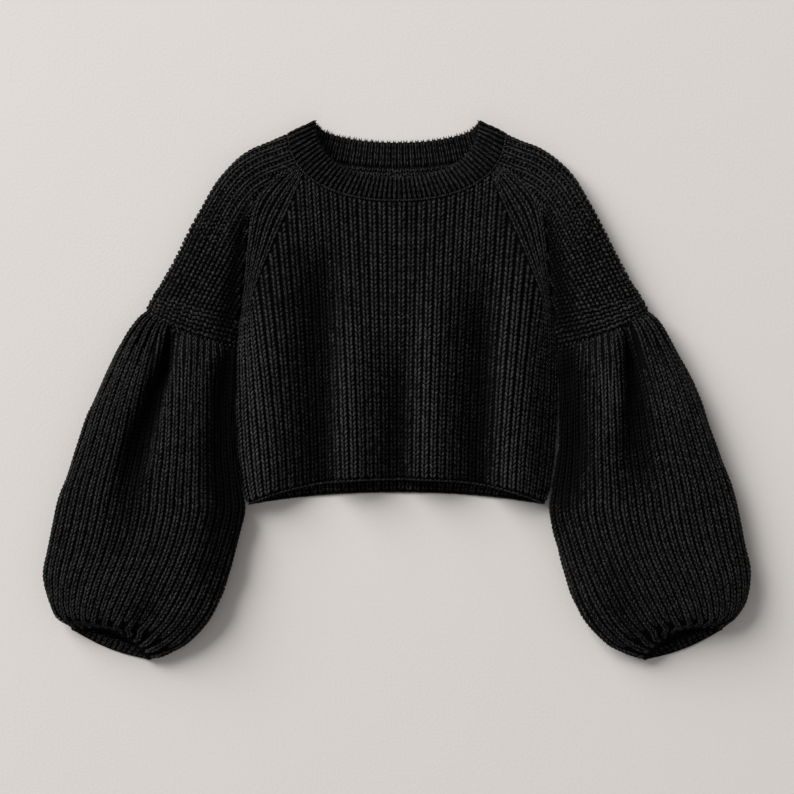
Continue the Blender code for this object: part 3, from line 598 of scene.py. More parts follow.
class YarnWork:
    """Yarn legs gathered up for one piece of stitching."""

    RINGS = ((-0.66, 0.74), (0.0, 1.0), (0.66, 0.74))   # places along a leg, and its girth there
    SIDES = 6
    SHORT_TURN = 0.998         # the turn round a leg stays under 1, where the next tone starts
    SAG = 0.75                 # how far the ends of a leg sink, in halves of its thickness
    SWELL_RUNS = (23.0, 9.0)   # runs of the slow and the quick rise of a rib along its length
    LEAST_FILL = 0.29          # share of a wide rib that a leg takes at least
    MOST_WIDE = 1.3            # how far it may widen for that
    THIN, LOW = 0.45, 0.3      # share of its thickness and lift that it keeps on the floor
    FULL_PITCH = 8.0           # rib width from which a leg has its whole thickness
    LEAST_PITCH = 3.0          # narrower ribs have no legs
    LEAST_STAND = 0.12         # and neither have those that lie pressed to the floor
    LOOK = 0.3                 # rows to each side of a leg between which its direction is read
    STRAY, ASIDE = 0.035, 0.012        # unevenness of its place, in stitches up and columns across
    TURN, ROLL, SIZE = 3.0, 2.5, 0.045     # of its slant and tilt, in degrees, and of its size
    CHAIN_TURN, CHAIN_SIZE = 4.0, 0.05     # the same for a leg of a chain

    def __init__(self, seed: int) -> None:
        """Starts with no legs and its own fixed unevenness."""
        self.legs: list[Array] = []
        self.fold_shades: list[Array] = []
        self.chance = np.random.default_rng(seed)

    def lay(self, middle: Array, across: Array, along: Array, over: Array,
            fold_shade: Any = 0.0) -> None:
        """Adds legs.

        Args:
            middle: middles of the legs.
            across: half of each leg's width, as a vector.
            along: half of each leg's length, as a vector.
            over: half of each leg's thickness, as a vector.
            fold_shade: painted shade of each leg, from how deep it lies in a fold; below 0 it is
                painted light.
        """
        if len(middle):
            self.legs.append(np.stack([middle, across, along, over], axis=1))
            self.fold_shades.append(np.broadcast_to(fold_shade, len(middle)))

    def rib(self, cloth: Cloth, wale: float, gauge: Gauge, first: float = 3.5,
            last: float = 3.0) -> None:
        """Knits one rib up the cloth, as columns of legs.

        Args:
            cloth: the cloth that carries it.
            wale: place of the rib's middle, in ribs.
            gauge: how it is knitted.
            first: distance of the lowest stitch's foot from the first row.
            last: space left at the last row.
        """
        track, held = cloth.track(wale)
        rows = np.arange(len(track), dtype=float)
        if gauge.level:
            length = cloth.rows_up().mean(axis=1)
        else:
            length = run_length(cloth.along(track, rows))
        count = int((length[-1] - first - last) / gauge.row + 0.5)
        if count < 1 or held.sum() < 2:
            return
        step = (length[-1] - first - last) / count
        places = first + step * (np.arange(count) + 0.5)
        phase = self.chance.uniform(0.0, 2 * math.pi, 2)
        for sign in gauge.legs:
            shift = self.chance.normal(0.0, self.STRAY * gauge.loose, count)
            v = np.interp(places + shift * step, length, rows)
            here = held[np.clip((v + 0.5).astype(int), 0, len(held) - 1)]
            leg_track = cloth.track(wale + sign * gauge.spread)[0]
            swell = sum(np.sin(places[here] / run + at) for run, at in zip(self.SWELL_RUNS, phase))
            self.column(cloth, v[here], leg_track, sign, step, swell * gauge.uneven, gauge)

    def column(self, cloth: Cloth, v: Array, track: Array, sign: float, step: float, swell: Array,
               gauge: Gauge) -> None:
        """Lays one column of legs.

        Args:
            cloth: the cloth that carries them.
            v: their places up the cloth, in rows.
            track: column of the cloth that they follow, for every row.
            sign: -1 for the left leg of each pair and 1 for the right one.
            step: height of one stitch here.
            swell: how far each stands out over the others.
            gauge: how they are knitted.
        """
        count, last = len(v), cloth.points.shape[0] - 1
        u = np.interp(v, np.arange(len(track)), track)
        u = u + self.chance.normal(0.0, self.ASIDE * gauge.loose, count)
        point, normal = cloth.read(cloth.points, v, u), unit(cloth.read(cloth.normal, v, u))
        above, below = np.minimum(v + self.LOOK, last), v - self.LOOK
        up = unit(cloth.along(track, above) - cloth.along(track, below))
        right = cloth.read(cloth.right, v, u)
        right = right - up * (right * up).sum(1, keepdims=True)
        nearest = np.clip((v + 0.5).astype(int), 0, last)
        cell = np.clip(u.astype(int), 0, cloth.wales.shape[1] - 2)
        per_column = cloth.wales[nearest, cell + 1] - cloth.wales[nearest, cell]
        pitch = np.linalg.norm(right, axis=1) / np.maximum(per_column, 1e-3)
        right = unit(right)
        slant = gauge.slant + self.chance.normal(0.0, self.TURN * gauge.loose, count)
        slant = np.radians(slant)[:, None] * sign
        tilt = np.radians(gauge.tilt + self.chance.normal(0.0, self.ROLL, count))[:, None] * sign
        stand = clear(point[:, 2]) if gauge.grounded else np.ones(count)
        thin, low = self.THIN + (1.0 - self.THIN) * stand, self.LOW + (1.0 - self.LOW) * stand
        over_way = normal * np.cos(tilt) + right * np.sin(tilt)
        side_way = right * np.cos(tilt) - normal * np.sin(tilt)
        along_way = up * np.cos(slant) + side_way * np.sin(slant)
        across_way = side_way * np.cos(slant) - up * np.sin(slant)
        size = 1.0 + self.chance.normal(0.0, self.SIZE * gauge.loose, count)
        fold_shade = cloth.read(cloth.fold_shade[..., None], v, u)[:, 0]
        longer = gauge.short + (1.0 - gauge.short) * smooth(*gauge.short_run, v / last)
        wider = 1.0 - gauge.slim * smooth(*gauge.slim_run, v / last)
        length = step * gauge.reach * longer
        breadth = np.clip(self.LEAST_FILL * pitch, gauge.width, gauge.width * self.MOST_WIDE)
        breadth = np.minimum(breadth * wider, gauge.fill * pitch) / 2
        over = gauge.over * thin * np.clip(pitch / self.FULL_PITCH, self.THIN, 1.0)
        middle = point + normal * ((gauge.lift + swell) * low)[:, None]
        keep = (pitch > self.LEAST_PITCH) & (stand > self.LEAST_STAND)
        across = across_way * (breadth * size)[:, None]
        along = along_way * (length / 2 * size)[:, None]
        self.lay(middle[keep], across[keep], along[keep], (over_way * over[:, None])[keep],
                 fold_shade[keep])

    @staticmethod
    def spots(cloth: Cloth, row: float, wales: Array) -> tuple[Array, ...]:
        """Reads places along one row of the cloth.

        Args:
            cloth: the cloth.
            row: place up it, in rows.
            wales: places across it, in ribs.

        Returns:
            Points, directions out, up and to the right, and widths of a rib.
        """
        numbers = cloth.wales[int(row)]
        u = np.interp(wales, numbers, np.arange(len(numbers)))
        v = np.full(len(u), row)
        point, normal = cloth.read(cloth.points, v, u), unit(cloth.read(cloth.normal, v, u))
        up, right = unit(cloth.read(cloth.up, v, u)), cloth.read(cloth.right, v, u)
        per_rib = 1.0 / np.interp(u, np.arange(len(numbers) - 1) + 0.5, np.diff(numbers))
        return point, normal, up, unit(right), (np.linalg.norm(right, axis=1) * per_rib)[:, None]

    def edge(self, cloth: Cloth, wales: Array, chain: Chain) -> None:
        """Lays a chain of legs along one row of the cloth.

        Args:
            cloth: the cloth that carries it.
            wales: places of the legs, in ribs.
            chain: how it is made.
        """
        point, normal, up, right, pitch = self.spots(cloth, chain.row, wales)
        turn = chain.lean + self.chance.normal(0.0, self.CHAIN_TURN, len(wales))
        turn = np.radians(turn)[:, None]
        size = 1.0 + self.chance.normal(0.0, self.CHAIN_SIZE, len(wales))[:, None]
        along = right * np.cos(turn) + up * np.sin(turn)
        across = up * np.cos(turn) - right * np.sin(turn)
        self.lay(point - up * chain.out + normal * chain.lift, across * chain.breadth * size,
                 along * pitch * (chain.length / 2) * size, normal * chain.over)

    def wrap(self, cloth: Cloth, wales: Array, length: float, breadth: float, thick: float,
             out: float) -> None:
        """Lays legs that turn over the last row of a band, from one face to the other.

        Args:
            cloth: the cloth that carries them.
            wales: places of the legs, in ribs.
            length: length of a leg through the thickness of the band.
            breadth: width of a leg, in ribs.
            thick: half its thickness.
            out: how far its middle stands up off the row.
        """
        row = float(len(cloth.points) - 1)
        point, normal, up, right, pitch = self.spots(cloth, row, wales)
        self.lay(point + up * out, right * pitch * (breadth / 2), normal * (length / 2),
                 up * thick)

    def count(self) -> int:
        """Number of legs."""
        return sum(len(part) for part in self.legs)

    def piece(self, name: str, material: Finish) -> Piece:
        """Joins all legs in one mesh.

        Args:
            name: name of the piece.
            material: its finish.

        Returns:
            The new object.
        """
        legs = np.concatenate(self.legs)
        turn = np.arange(self.SIDES) * 2 * math.pi / self.SIDES
        shape = [(0.0, -1.0, -self.SAG)]
        for along, radius in self.RINGS:
            sag = self.SAG * along * along
            shape += [(radius * math.cos(t), along, radius * math.sin(t) - sag) for t in turn]
        shape.append((0.0, 1.0, -self.SAG))
        shape = np.array(shape)
        sides, rings, total = self.SIDES, len(self.RINGS), len(shape)
        quads, quad_map, ends, end_map = [], [], [], []
        for k in range(sides):
            after, part = (k + 1) % sides, k / sides
            beside = part + 1 / sides
            for r in range(rings - 1):
                low, high = 1 + r * sides, 1 + (r + 1) * sides
                foot, head = r / rings, (r + 1) / rings
                quads.append((low + k, high + k, high + after, low + after))
                quad_map.append(((part, foot), (part, head), (beside, head), (beside, foot)))
            top = 1 + (rings - 1) * sides
            ends += [(0, 1 + k, 1 + after), (total - 1, top + after, top + k)]
            end_map += [((part, 0.0), (part, 0.1), (beside, 0.1)),
                        ((part, 1.0), (beside, 0.9), (part, 0.9))]
        points = np.einsum("vk,nkd->nvd", shape, legs[:, 1:4]) + legs[:, None, 0]
        points[..., 2] = np.maximum(points[..., 2], 0.0)
        number = (np.arange(len(legs)) * total)[:, None, None]
        tone = np.zeros((len(legs), 1, 1, 2))
        # tone of each leg: a random tone, lowered by painted shade in folds and raised by painted
        # light on ridges
        shade = Yarn.open_tone + self.chance.integers(-Yarn.spread, Yarn.spread + 1, len(legs))
        shade = shade - np.concatenate(self.fold_shades) * Yarn.open_tone
        tone[:, 0, 0, 0] = np.clip(np.round(shade), 0, Yarn.tones - 1)
        faces, maps = [], []
        for part, place in ((quads, quad_map), (ends, end_map)):
            faces.append((np.array(part)[None] + number).reshape(-1, len(part[0])))
            spot = np.array(place)[None] * np.array([self.SHORT_TURN, 1.0]) + tone
            maps.append(spot.reshape(-1, len(part[0]), 2))
        return make_piece(name, points.reshape(-1, 3), faces, maps, material)


def knit_wall(name: str, cloths: Sequence[Cloth], material: Finish,
              outside: Sequence[Array], inside: float = 0.0,
              row: float = ROW) -> Piece:
    """Makes one closed shell from stretches of cloth that share their edges.

    Args:
        name: name of the piece.
        cloths: the stretches.
        material: its finish.
        outside: for each stretch, the height of the outer face over the middle.
        inside: height of the ribs on the inner face.
        row: height of one stitch.

    Returns:
        The new object.
    """
    points = np.concatenate([cloth.points.reshape(-1, 3) for cloth in cloths])
    rise = np.concatenate([part.reshape(-1) for part in outside])
    wave = np.concatenate([crests(cloth.wales.ravel()) for cloth in cloths])
    keys = np.round(points * WELD).astype(np.int64)
    _, first, number = np.unique(keys, axis=0, return_index=True, return_inverse=True)
    number = number.reshape(-1)
    quads, maps, start = [], [], 0
    for cloth in cloths:
        rows, columns = cloth.points.shape[:2]
        grid = np.arange(rows * columns).reshape(rows, columns) + start
        square = (grid[:-1, :-1], grid[:-1, 1:], grid[1:, 1:], grid[1:, :-1])
        quads.append(np.stack(square, axis=-1).reshape(-1, 4))
        maps.append(np.stack([cloth.wales, cloth.rows_up() / row], -1).reshape(-1, 2))
        start += rows * columns
    quads, maps = np.concatenate(quads), np.concatenate(maps)
    faces = number[quads]
    middle, rise, wave = points[first], rise[first], wave[first]
    corner = [middle[faces[:, k]] for k in range(4)]
    cross = np.cross(corner[2] - corner[0], corner[3] - corner[1])
    normal = np.zeros_like(middle)
    for k in range(4):
        np.add.at(normal, faces[:, k], cross)
    normal = unit(normal)
    outer = middle + normal * rise[:, None]
    outer[:, 2] = np.maximum(outer[:, 2], 0.0)
    inner = middle - normal * (WALL / 2 + inside * (wave - 0.5))[:, None]
    inner[:, 2] = np.maximum(inner[:, 2], LEAST_INNER)
    edges = np.stack([faces, np.roll(faces, -1, axis=1)], axis=-1).reshape(-1, 2)
    ids = np.sort(edges, axis=1) @ np.array([len(middle), 1])
    _, where, uses = np.unique(ids, return_index=True, return_counts=True)
    rim = edges[where[uses == 1]]
    count = len(middle)
    rim_quads = np.stack([rim[:, 1], rim[:, 0], rim[:, 0] + count, rim[:, 1] + count], axis=1)
    quad_maps = maps[quads]
    rim_map = maps[first][np.stack([rim[:, 1], rim[:, 0], rim[:, 0], rim[:, 1]], axis=1)]
    return make_piece(name, np.concatenate([outer, inner]),
                      [faces, faces[:, ::-1] + count, rim_quads],
                      [quad_maps, quad_maps[:, ::-1], rim_map], material)


def ribbed(cloth: Cloth, crest: float = 1.5, furrow: float = 0.7) -> Array:
    """Outer height of a ribbed cloth, full and smooth where it lies on the floor."""
    height = furrow + (crest - furrow) * crests(cloth.wales)
    return WALL / 2 + (height - WALL / 2) * clear(cloth.points[..., 2])


# ------------------------------------------------------------------ the body's form


class SidePoint(NamedTuple):
    """A point of the body's side seam."""

    x: float
    y: float
    seam_z: float


class HeadRow(NamedTuple):
    """A section of the sleeve head, from its front seam over its fold to its back seam."""

    x: float
    y: float
    back_x: float
    back_y: float
    outer_x: float
    outer_y: float
    front_z: float
    back_z: float
    roll: float
    crown: float
    fold_z: float
    bow: float
    under_bow: float


class CrownRow(NamedTuple):
    """Height of the front's middle at a level, and how square its sides roll over."""

    y: float
    height: float
    squareness: float


class Fold(NamedTuple):
    """An upright fold of the lower front; depth is positive for a trough."""

    x: float
    left: float
    right: float
    depth: float
    top_y: float


class EdgePoint(NamedTuple):
    """A point of the fashioned band's inner edge."""

    x: float
    y: float


HEAD_ROWS = (
    HeadRow(135.3, 306.7, 125.0, 325.9, 148.2, 350.2, 22.0, FLOOR, 0.0, 23.0, 12.0, 3.6, 4.5),
    HeadRow(155.0, 298.0, 150.0, 308.0, 170.0, 340.7, 22.5, FLOOR, 0.1, 24.5, 12.0, 3.0, 2.5),
    HeadRow(172.7, 283.6, 172.0, 284.5, 195.8, 329.8, 24.0, FLOOR, 0.25, 26.5, 12.5, 2.0, 1.0),
    HeadRow(189.0, 264.5, 189.0, 264.5, 219.6, 313.5, 26.3, FLOOR, 0.45, 28.5, 13.0, 1.0, 0.0),
    HeadRow(197.6, 242.8, 197.6, 242.8, 240.0, 291.7, 27.0, FLOOR, 0.65, 30.5, 14.0, 0.0, 0.0),
    HeadRow(201.6, 215.6, 201.6, 215.6, 257.0, 265.9, 25.5, FLOOR, 0.9, 32.0, 15.0, 0.0, 0.0),
    HeadRow(204.4, 184.3, 204.4, 184.3, 278.8, 226.4, 22.5, 2.2, 1.0, 33.0, 15.0, 0.0, 0.0),
    HeadRow(207.0, 150.3, 207.0, 150.3, 300.6, 182.9, 19.0, 3.6, 1.0, 33.5, 15.0, 0.0, 0.0),
    HeadRow(211.2, 114.9, 211.2, 114.9, 322.3, 142.1, 16.5, 6.5, 1.0, 33.5, 15.0, 1.5, 1.0),
    HeadRow(216.6, 75.5, 216.6, 75.5, 338.6, 114.9, 14.5, 10.5, 1.0, 32.0, 14.0, 4.0, 2.0),
    HeadRow(218.4, 58.0, 218.4, 58.0, 340.0, 106.0, 13.4, 12.6, 1.0, 30.0, 13.0, 6.0, 3.0),
)


@dataclass
class BodyForm:
    """The laid-out body: where its sides and neck run, and how high its front stands."""

    side_seam: tuple[SidePoint, ...] = (
        SidePoint(203.0, -154.0, 11.0), SidePoint(207.5, -140.0, 12.0),
        SidePoint(211.0, -127.0, 12.8), SidePoint(215.5, -94.0, 13.5),
        SidePoint(218.8, -40.0, 13.8), SidePoint(219.6, 14.0, 13.5),
    )
    crown: tuple[CrownRow, ...] = (
        CrownRow(-154.0, 25.0, 6.5), CrownRow(-120.0, 27.0, 6.0), CrownRow(-60.0, 30.0, 5.5),
        CrownRow(60.0, 31.5, 6.0), CrownRow(140.0, 31.0, 8.0), CrownRow(200.0, 30.0, 11.0),
        CrownRow(250.0, 27.5, 14.0), CrownRow(285.0, 24.0, 16.0), CrownRow(307.0, 22.0, 16.0),
    )
    folds: tuple[Fold, ...] = (
        Fold(-194.0, 34.0, 30.0, -9.0, 150.0), Fold(-100.0, 44.0, 16.0, 17.0, 240.0),
        Fold(-68.0, 16.0, 20.0, -9.0, 150.0), Fold(4.0, 29.0, 13.0, 15.0, 95.0),
        Fold(40.0, 16.0, 24.0, -8.0, 190.0), Fold(116.0, 38.0, 14.0, 17.0, 190.0),
        Fold(152.0, 16.0, 26.0, -8.0, 190.0), Fold(216.0, 30.0, 20.0, 12.0, 150.0),
    )
    fold_fade: float = 130.0   # how far under its top a fold has its whole depth
    lowest: float = 8.2        # the least height of the front's middle surface
    full_shade_depth: float = 30.0   # how far a fold falls where its painted shade is darkest
    painted_ridge_light: float = 0.4   # how much painted light a ridge gets at most
    neck_x: float = 148.2
    neck_y: float = 350.2
    front_drop: float = 92.5
    front_power: float = 2.25
    back_drop: float = 45.0
    back_power: float = 2.0
    neck_slope: float = 60.0   # the front falls to the neck seam over this distance
    hem_y: float = -120.4
    hem_drop: float = 33.6
    hem_power: float = 2.6
    hem_corner_x: float = 203.0
    raglan_steps: int = 100    # steps in which the raglan is read from its table
    underarm_row: float = 8.0  # row of the sleeve head where the raglan starts
    raglan_bend: float = 0.46  # share of the rows from where they lie farther apart
    raglan_cells: tuple[int, int] = (4, 6)     # even steps under that place and over it

    def __post_init__(self) -> None:
        """Joins the side seam and the raglan in one edge."""
        places = (len(HEAD_ROWS) - 1) * shares(self.raglan_steps)[::-1]
        raglan = [between(HEAD_ROWS, at) for at in places]
        self.edge_y = np.concatenate([column(self.side_seam, "y"), column(raglan, "y")])
        self.edge_x = np.concatenate([column(self.side_seam, "x"), column(raglan, "x")])
        self.edge_z = np.concatenate([column(self.side_seam, "seam_z"), column(raglan, "front_z")])
        self.roll_y = column(raglan, "y")
        self.roll = np.clip(column(raglan, "roll"), 0.0, 1.0)

    def half(self, y: Any) -> Any:
        """Half width of the front's middle surface at a level."""
        roll = np.interp(y, self.roll_y, self.roll)
        return np.interp(y, self.edge_y, self.edge_x) - SIDE_SKIN * roll - SEAM_GAP / 2

    def neck_reach(self, x: Any, y: Any) -> Any:
        """Rough distance from the front neck seam, outwards."""
        across = (np.abs(x) / self.neck_x) ** self.front_power
        down = (np.maximum(self.neck_y - y, 0.0) / self.front_drop) ** self.front_power
        return ((across + down) ** (1.0 / self.front_power) - 1.0) * self.front_drop

    def neck_level(self, x: Any, behind: bool = False) -> Any:
        """Level of the neck seam at a place across the body."""
        drop = self.back_drop if behind else self.front_drop
        power = self.back_power if behind else self.front_power
        reach = np.clip(np.abs(x) / self.neck_x, 0.0, 1.0) ** power
        return self.neck_y - drop * (1.0 - reach) ** (1.0 / power)

    def hem_level(self, x: Any) -> Any:
        """Level of the front hem, which curves down to its corners."""
        return self.hem_y - self.hem_drop * (np.abs(x) / self.hem_corner_x) ** self.hem_power

    def fold_depth(self, x: Array, y: Any) -> Array:
        """How far the folds of the front fall at a place; negative on a ridge."""
        depth = np.zeros(np.broadcast(x, y).shape)
        for fold in self.folds:
            fade = 1.0 - smooth(fold.top_y - self.fold_fade, fold.top_y, y)
            width = np.where(x < fold.x, fold.left, fold.right)
            depth += fold.depth * fade * np.exp(-(((x - fold.x) / width) ** 2))
        return depth

    def fold_shade(self, points: Array) -> Array:
        """Painted shade of points of the front, from how deep they lie in its folds, as a share;
        below 0 it is painted light on a ridge.
        """
        share = self.fold_depth(points[..., 0], points[..., 1]) / self.full_shade_depth
        return np.clip(share, -self.painted_ridge_light, 1.0)

    def over(self, x: Array, y: Array) -> Array:
        """Points of the front's middle surface over places in plan.

        Args:
            x: places across the body.
            y: places up the body.

        Returns:
            Points with their heights.
        """
        crown = np.interp(y, column(self.crown, "y"), column(self.crown, "height"))
        square = np.interp(y, column(self.crown, "y"), column(self.crown, "squareness"))
        seam = np.interp(y, self.edge_y, self.edge_z) + SEAM_GAP / 2
        reach = np.clip(np.abs(x) / self.half(y), 0.0, 1.0)
        profile = np.sqrt(1.0 - reach ** square)
        near = smooth(0.0, self.neck_slope, self.neck_reach(x, y))
        crown = self.edge_z[-1] + (crown - self.edge_z[-1]) * near
        height = seam + (np.maximum(crown, seam) - seam - self.fold_depth(x, y)) * profile
        return np.stack([x, y, np.maximum(height, self.lowest)], axis=-1)

    def raglan_rows(self, steps: int) -> Array:
        """Rows of the sleeve head that the panels follow, from the side seam to the neck."""
        bend = self.raglan_bend * (len(HEAD_ROWS) - 1)
        low, high = self.raglan_cells
        lower = np.linspace(self.underarm_row, bend, low + 1)
        upper = np.linspace(bend, 0.0, high + 1)
        return resampled(np.concatenate([lower, upper[1:]]), steps)


# ------------------------------------------------------------------ body pieces


@dataclass
class FrontPanel:
    """Front panel: upright ribs between two fashioned bands that follow the raglans."""

    form: BodyForm
    ribs: int = 32
    band_ribs: int = 4
    ending_ribs: int = 6
    fine: int = 4
    rows: int = 44
    neck_steps: int = 200      # steps of the neck line before it is spaced along the cloth
    band_steps: int = 120      # the same across a band
    foot_x: float = 171.0      # where the bands meet the hem
    fan: float = 1.4           # how late the upright ribs run apart on their way down
    band_edge: tuple[EdgePoint, ...] = (
        EdgePoint(127.0, 296.7), EdgePoint(132.0, 282.0), EdgePoint(139.0, 264.0),
        EdgePoint(148.0, 242.0), EdgePoint(159.5, 216.0), EdgePoint(172.0, 187.0),
        EdgePoint(184.0, 160.0), EdgePoint(192.0, 140.0), EdgePoint(197.0, 121.0),
    )
    gauge: Gauge = Gauge()
    band_gauge: Gauge = Gauge(
        row=6.6, reach=1.5, spread=0.20, width=2.6, slant=12.0, over=1.6, tilt=8.0)
    cord_place: float = 0.06   # the seam cord's distance from the band's outer edge, in ribs
    cord: Gauge = Gauge(
        row=6.0, reach=1.25, spread=0.0, width=3.2, slant=24.0, tilt=0.0, lift=1.5, legs=(1.0,))
    cast_off: Chain = Chain(length=0.60, breadth=1.35, over=1.3, out=0.0, lift=1.0, lean=20.0)
    under_edge: Chain = Chain(length=0.60, breadth=1.1, over=1.2, out=0.5, lift=-1.0, lean=-12.0)

    def centre(self) -> Cloth:
        """Cloth of the upright ribs, from one fashioned band to the other."""
        columns, ending = self.ribs * self.fine, self.ending_ribs * self.fine
        edge = along_line(self.band_edge[::-1], shares(ending))
        neck_x = np.linspace(self.band_edge[0].x, -self.band_edge[0].x, self.neck_steps + 1)
        neck = np.column_stack([neck_x, self.form.neck_level(neck_x)])
        neck = along_line(neck, shares(columns - 2 * ending))
        top = np.vstack([edge[:-1], neck, (edge[::-1] * MIRROR[:2])[1:]])[::-1]
        foot = np.linspace(-self.foot_x, self.foot_x, columns + 1)
        share = shares(self.rows)[:, None]
        level = self.form.hem_level(foot)
        points = self.form.over(foot + (top[:, 0] - foot) * share ** self.fan,
                                level + (top[:, 1] - level) * share)
        wales = np.arange(columns + 1) / self.fine
        # painted shade from the depth of its folds goes with the cloth
        return Cloth(points, wales, fold_shade=self.form.fold_shade(points))

    def band(self, centre: Cloth, side: Side) -> Cloth:
        """Cloth of one fashioned band, which runs up the side and then the raglan.

        It is worked out on the right, and turned over for the left side.

        Args:
            centre: cloth of the upright ribs, whose edge it continues.
            side: the side that it is on.

        Returns:
            The band's cloth.
        """
        turn = side.pick(MIRROR, np.ones(3))
        grid = side.pick(centre.points[:, ::-1] * turn, centre.points)
        ending, columns = self.ending_ribs * self.fine, self.band_ribs * self.fine
        inner = np.vstack([grid[:, -1], grid[-1, -2:-2 - ending:-1]])
        upper = [between(HEAD_ROWS, at).y for at in self.form.raglan_rows(ending)]
        levels = list(np.linspace(self.form.edge_y[0], upper[0], self.rows + 1)) + upper[1:]
        t = 1.0 - (1.0 - shares(self.band_steps)) ** 2
        lines = []
        for r, level in enumerate(levels):
            start, end = inner[r, :2], np.array([float(self.form.half(level)), level])
            plan = start + (end - start) * t[:, None]
            if r == len(levels) - 1:
                plan[:, 1] = self.form.neck_level(plan[:, 0])
            points = self.form.over(plan[:, 0] * turn[0], plan[:, 1]) * turn
            line = along_line(points, shares(columns))
            line[0] = inner[r]
            lines.append(line)
        points, wales = np.array(lines), np.arange(columns + 1) / self.fine
        cloth = Cloth(points, wales, fold_shade=self.form.fold_shade(points * turn))
        return side.pick(cloth.mirrored(), cloth)

    def build(self, yarn: Finish, ground: Finish) -> None:
        """Knits the panel.

        Args:
            yarn: finish of the stitches.
            ground: finish of the shell behind them.
        """
        centre = self.centre()
        left, right = self.band(centre, Side.LEFT), self.band(centre, Side.RIGHT)
        cloths = [left, centre, right]
        shell = knit_wall("front_panel", cloths, ground, [ribbed(c) for c in cloths], inside=0.8)
        stitches = YarnWork(11)
        for k in range(self.ribs):
            stitches.rib(centre, k + 0.5, self.gauge)
        bands = YarnWork(12)
        for cloth in (left, right):
            upright, raglan = cloth.stretch(0, self.rows + 1), cloth.stretch(self.rows, None)
            for k in range(self.band_ribs):
                bands.rib(upright, k + 0.5, self.gauge, last=0.0)
                bands.rib(raglan, k + 0.5, self.band_gauge, first=0.0)
        bands.rib(right, self.band_ribs - self.cord_place, self.cord)
        bands.rib(left, self.cord_place, self.cord)
        hem = YarnWork(13)
        for cloth, count in ((left, self.band_ribs), (centre, self.ribs), (right, self.band_ribs)):
            hem.edge(cloth, paired(count), self.cast_off)
            hem.edge(cloth, paired(count) + 0.2, self.under_edge)
        parts = [stitches.piece("front_stitches", yarn),
                 bands.piece("fashioned_band_stitches", yarn), hem.piece("front_hem_chain", yarn)]
        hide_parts("front")
        LOG.info("front panel: %d legs", stitches.count() + bands.count())


@dataclass
class BackPanel:
    """Back panel: flat on the floor, its sides curled up to the side seams."""

    form: BodyForm
    ribs: int = 38
    fine: int = 3
    rows: int = 48
    hem_rows: int = 12         # rows of its cloth with stitches at the hem
    neck_rows: int = 6         # the same at the neck
    hem_y: float = -138.0
    bow: float = 2.2           # power of the curve that its rows follow
    curl: int = 30             # how tightly its sides curl up to the side seams
    arc_steps: int = 240       # steps of a row before it is spaced along the cloth
    cells: tuple[int, int] = (6, 10)       # even steps up its side and along its raglan
    gauge: Gauge = Gauge(over=1.5, lift=1.7, grounded=False)
    cast_off: Chain = Chain(length=0.72, breadth=1.6, over=1.5, out=0.2, lift=0.6, lean=8.0)

    def cloth(self) -> Cloth:
        """Cloth of the panel, with its inner face up."""
        side_cells, raglan_cells = self.cells
        raglan = [between(HEAD_ROWS, at) for at in self.form.raglan_rows(raglan_cells)]
        side, table = self.form.side_seam, HEAD_ROWS[::-1]
        back_y = np.concatenate([column(side, "y"), column(table, "back_y")])
        back_x = np.concatenate([column(side, "x"), column(table, "back_x")])
        back_z = np.concatenate([column(side, "seam_z"), column(table, "back_z")])
        upper = column(raglan, "back_y")
        lower = np.linspace(back_y[0], upper[0], side_cells + 1)
        levels = resampled(np.concatenate([lower, upper[1:]]), self.rows)
        u = np.sin(np.linspace(-math.pi / 2, math.pi / 2, self.arc_steps + 1))
        lines = []
        for r, level in enumerate(levels):
            share = (level - levels[0]) / (levels[-1] - levels[0])
            lift = max(float(np.interp(level, back_y, back_z)) - FLOOR - SEAM_GAP / 2, 0.0)
            stand = min(lift / FULL_LIFT, 1.0)
            half = float(np.interp(level, back_y, back_x)) - SKIN * stand - SEAM_GAP / 2
            centre = self.hem_y + (self.form.neck_y - self.form.back_drop - self.hem_y) * share
            x, y = u * half, level + (centre - level) * (1.0 - np.abs(u) ** self.bow)
            if r == self.rows:
                y = self.form.neck_level(x, behind=True)
            z = FLOOR + lift * (1.0 - np.sqrt(1.0 - np.abs(u) ** self.curl))
            lines.append(along_line(np.column_stack([x, y, z]), shares(self.ribs * self.fine)))
        return Cloth(np.array(lines), np.arange(self.ribs * self.fine + 1) / self.fine)

    def build(self, yarn: Finish, ground: Finish) -> None:
        """Knits the panel.

        Args:
            yarn: finish of the stitches.
            ground: finish of the shell behind them.
        """
        cloth = self.cloth()
        outside = cloth.inside()
        plain = [np.full(outside.points.shape[:2], WALL / 2)]
        shell = knit_wall("back_panel", [outside], ground, plain, inside=0.9)
        stitches = YarnWork(21)
        low, high = cloth.stretch(0, self.hem_rows + 1), cloth.stretch(-self.neck_rows, None)
        for k in range(self.ribs):
            stitches.rib(low, k + 0.5, self.gauge, first=2.5, last=0.0)
            stitches.rib(high, k + 0.5, self.gauge, first=0.0, last=2.0)
        stitches.edge(cloth, paired(self.ribs), self.cast_off)
        parts = [stitches.piece("back_inner_stitches", yarn)]
        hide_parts("back")
        LOG.info("back panel: %d legs", stitches.count())


# ------------------------------------------------------------------ sleeves


def dome(q: Array, power: float) -> Array:
    """Height over a line at shares of its length: 0 at its ends and 1 in its middle."""
    return np.sqrt(1.0 - np.abs(2.0 * q - 1.0) ** power)


class Span(NamedTuple):
    """The two ends of a section, in plan, and their heights."""

    start: Array
    end: Array
    start_z: float
    end_z: float


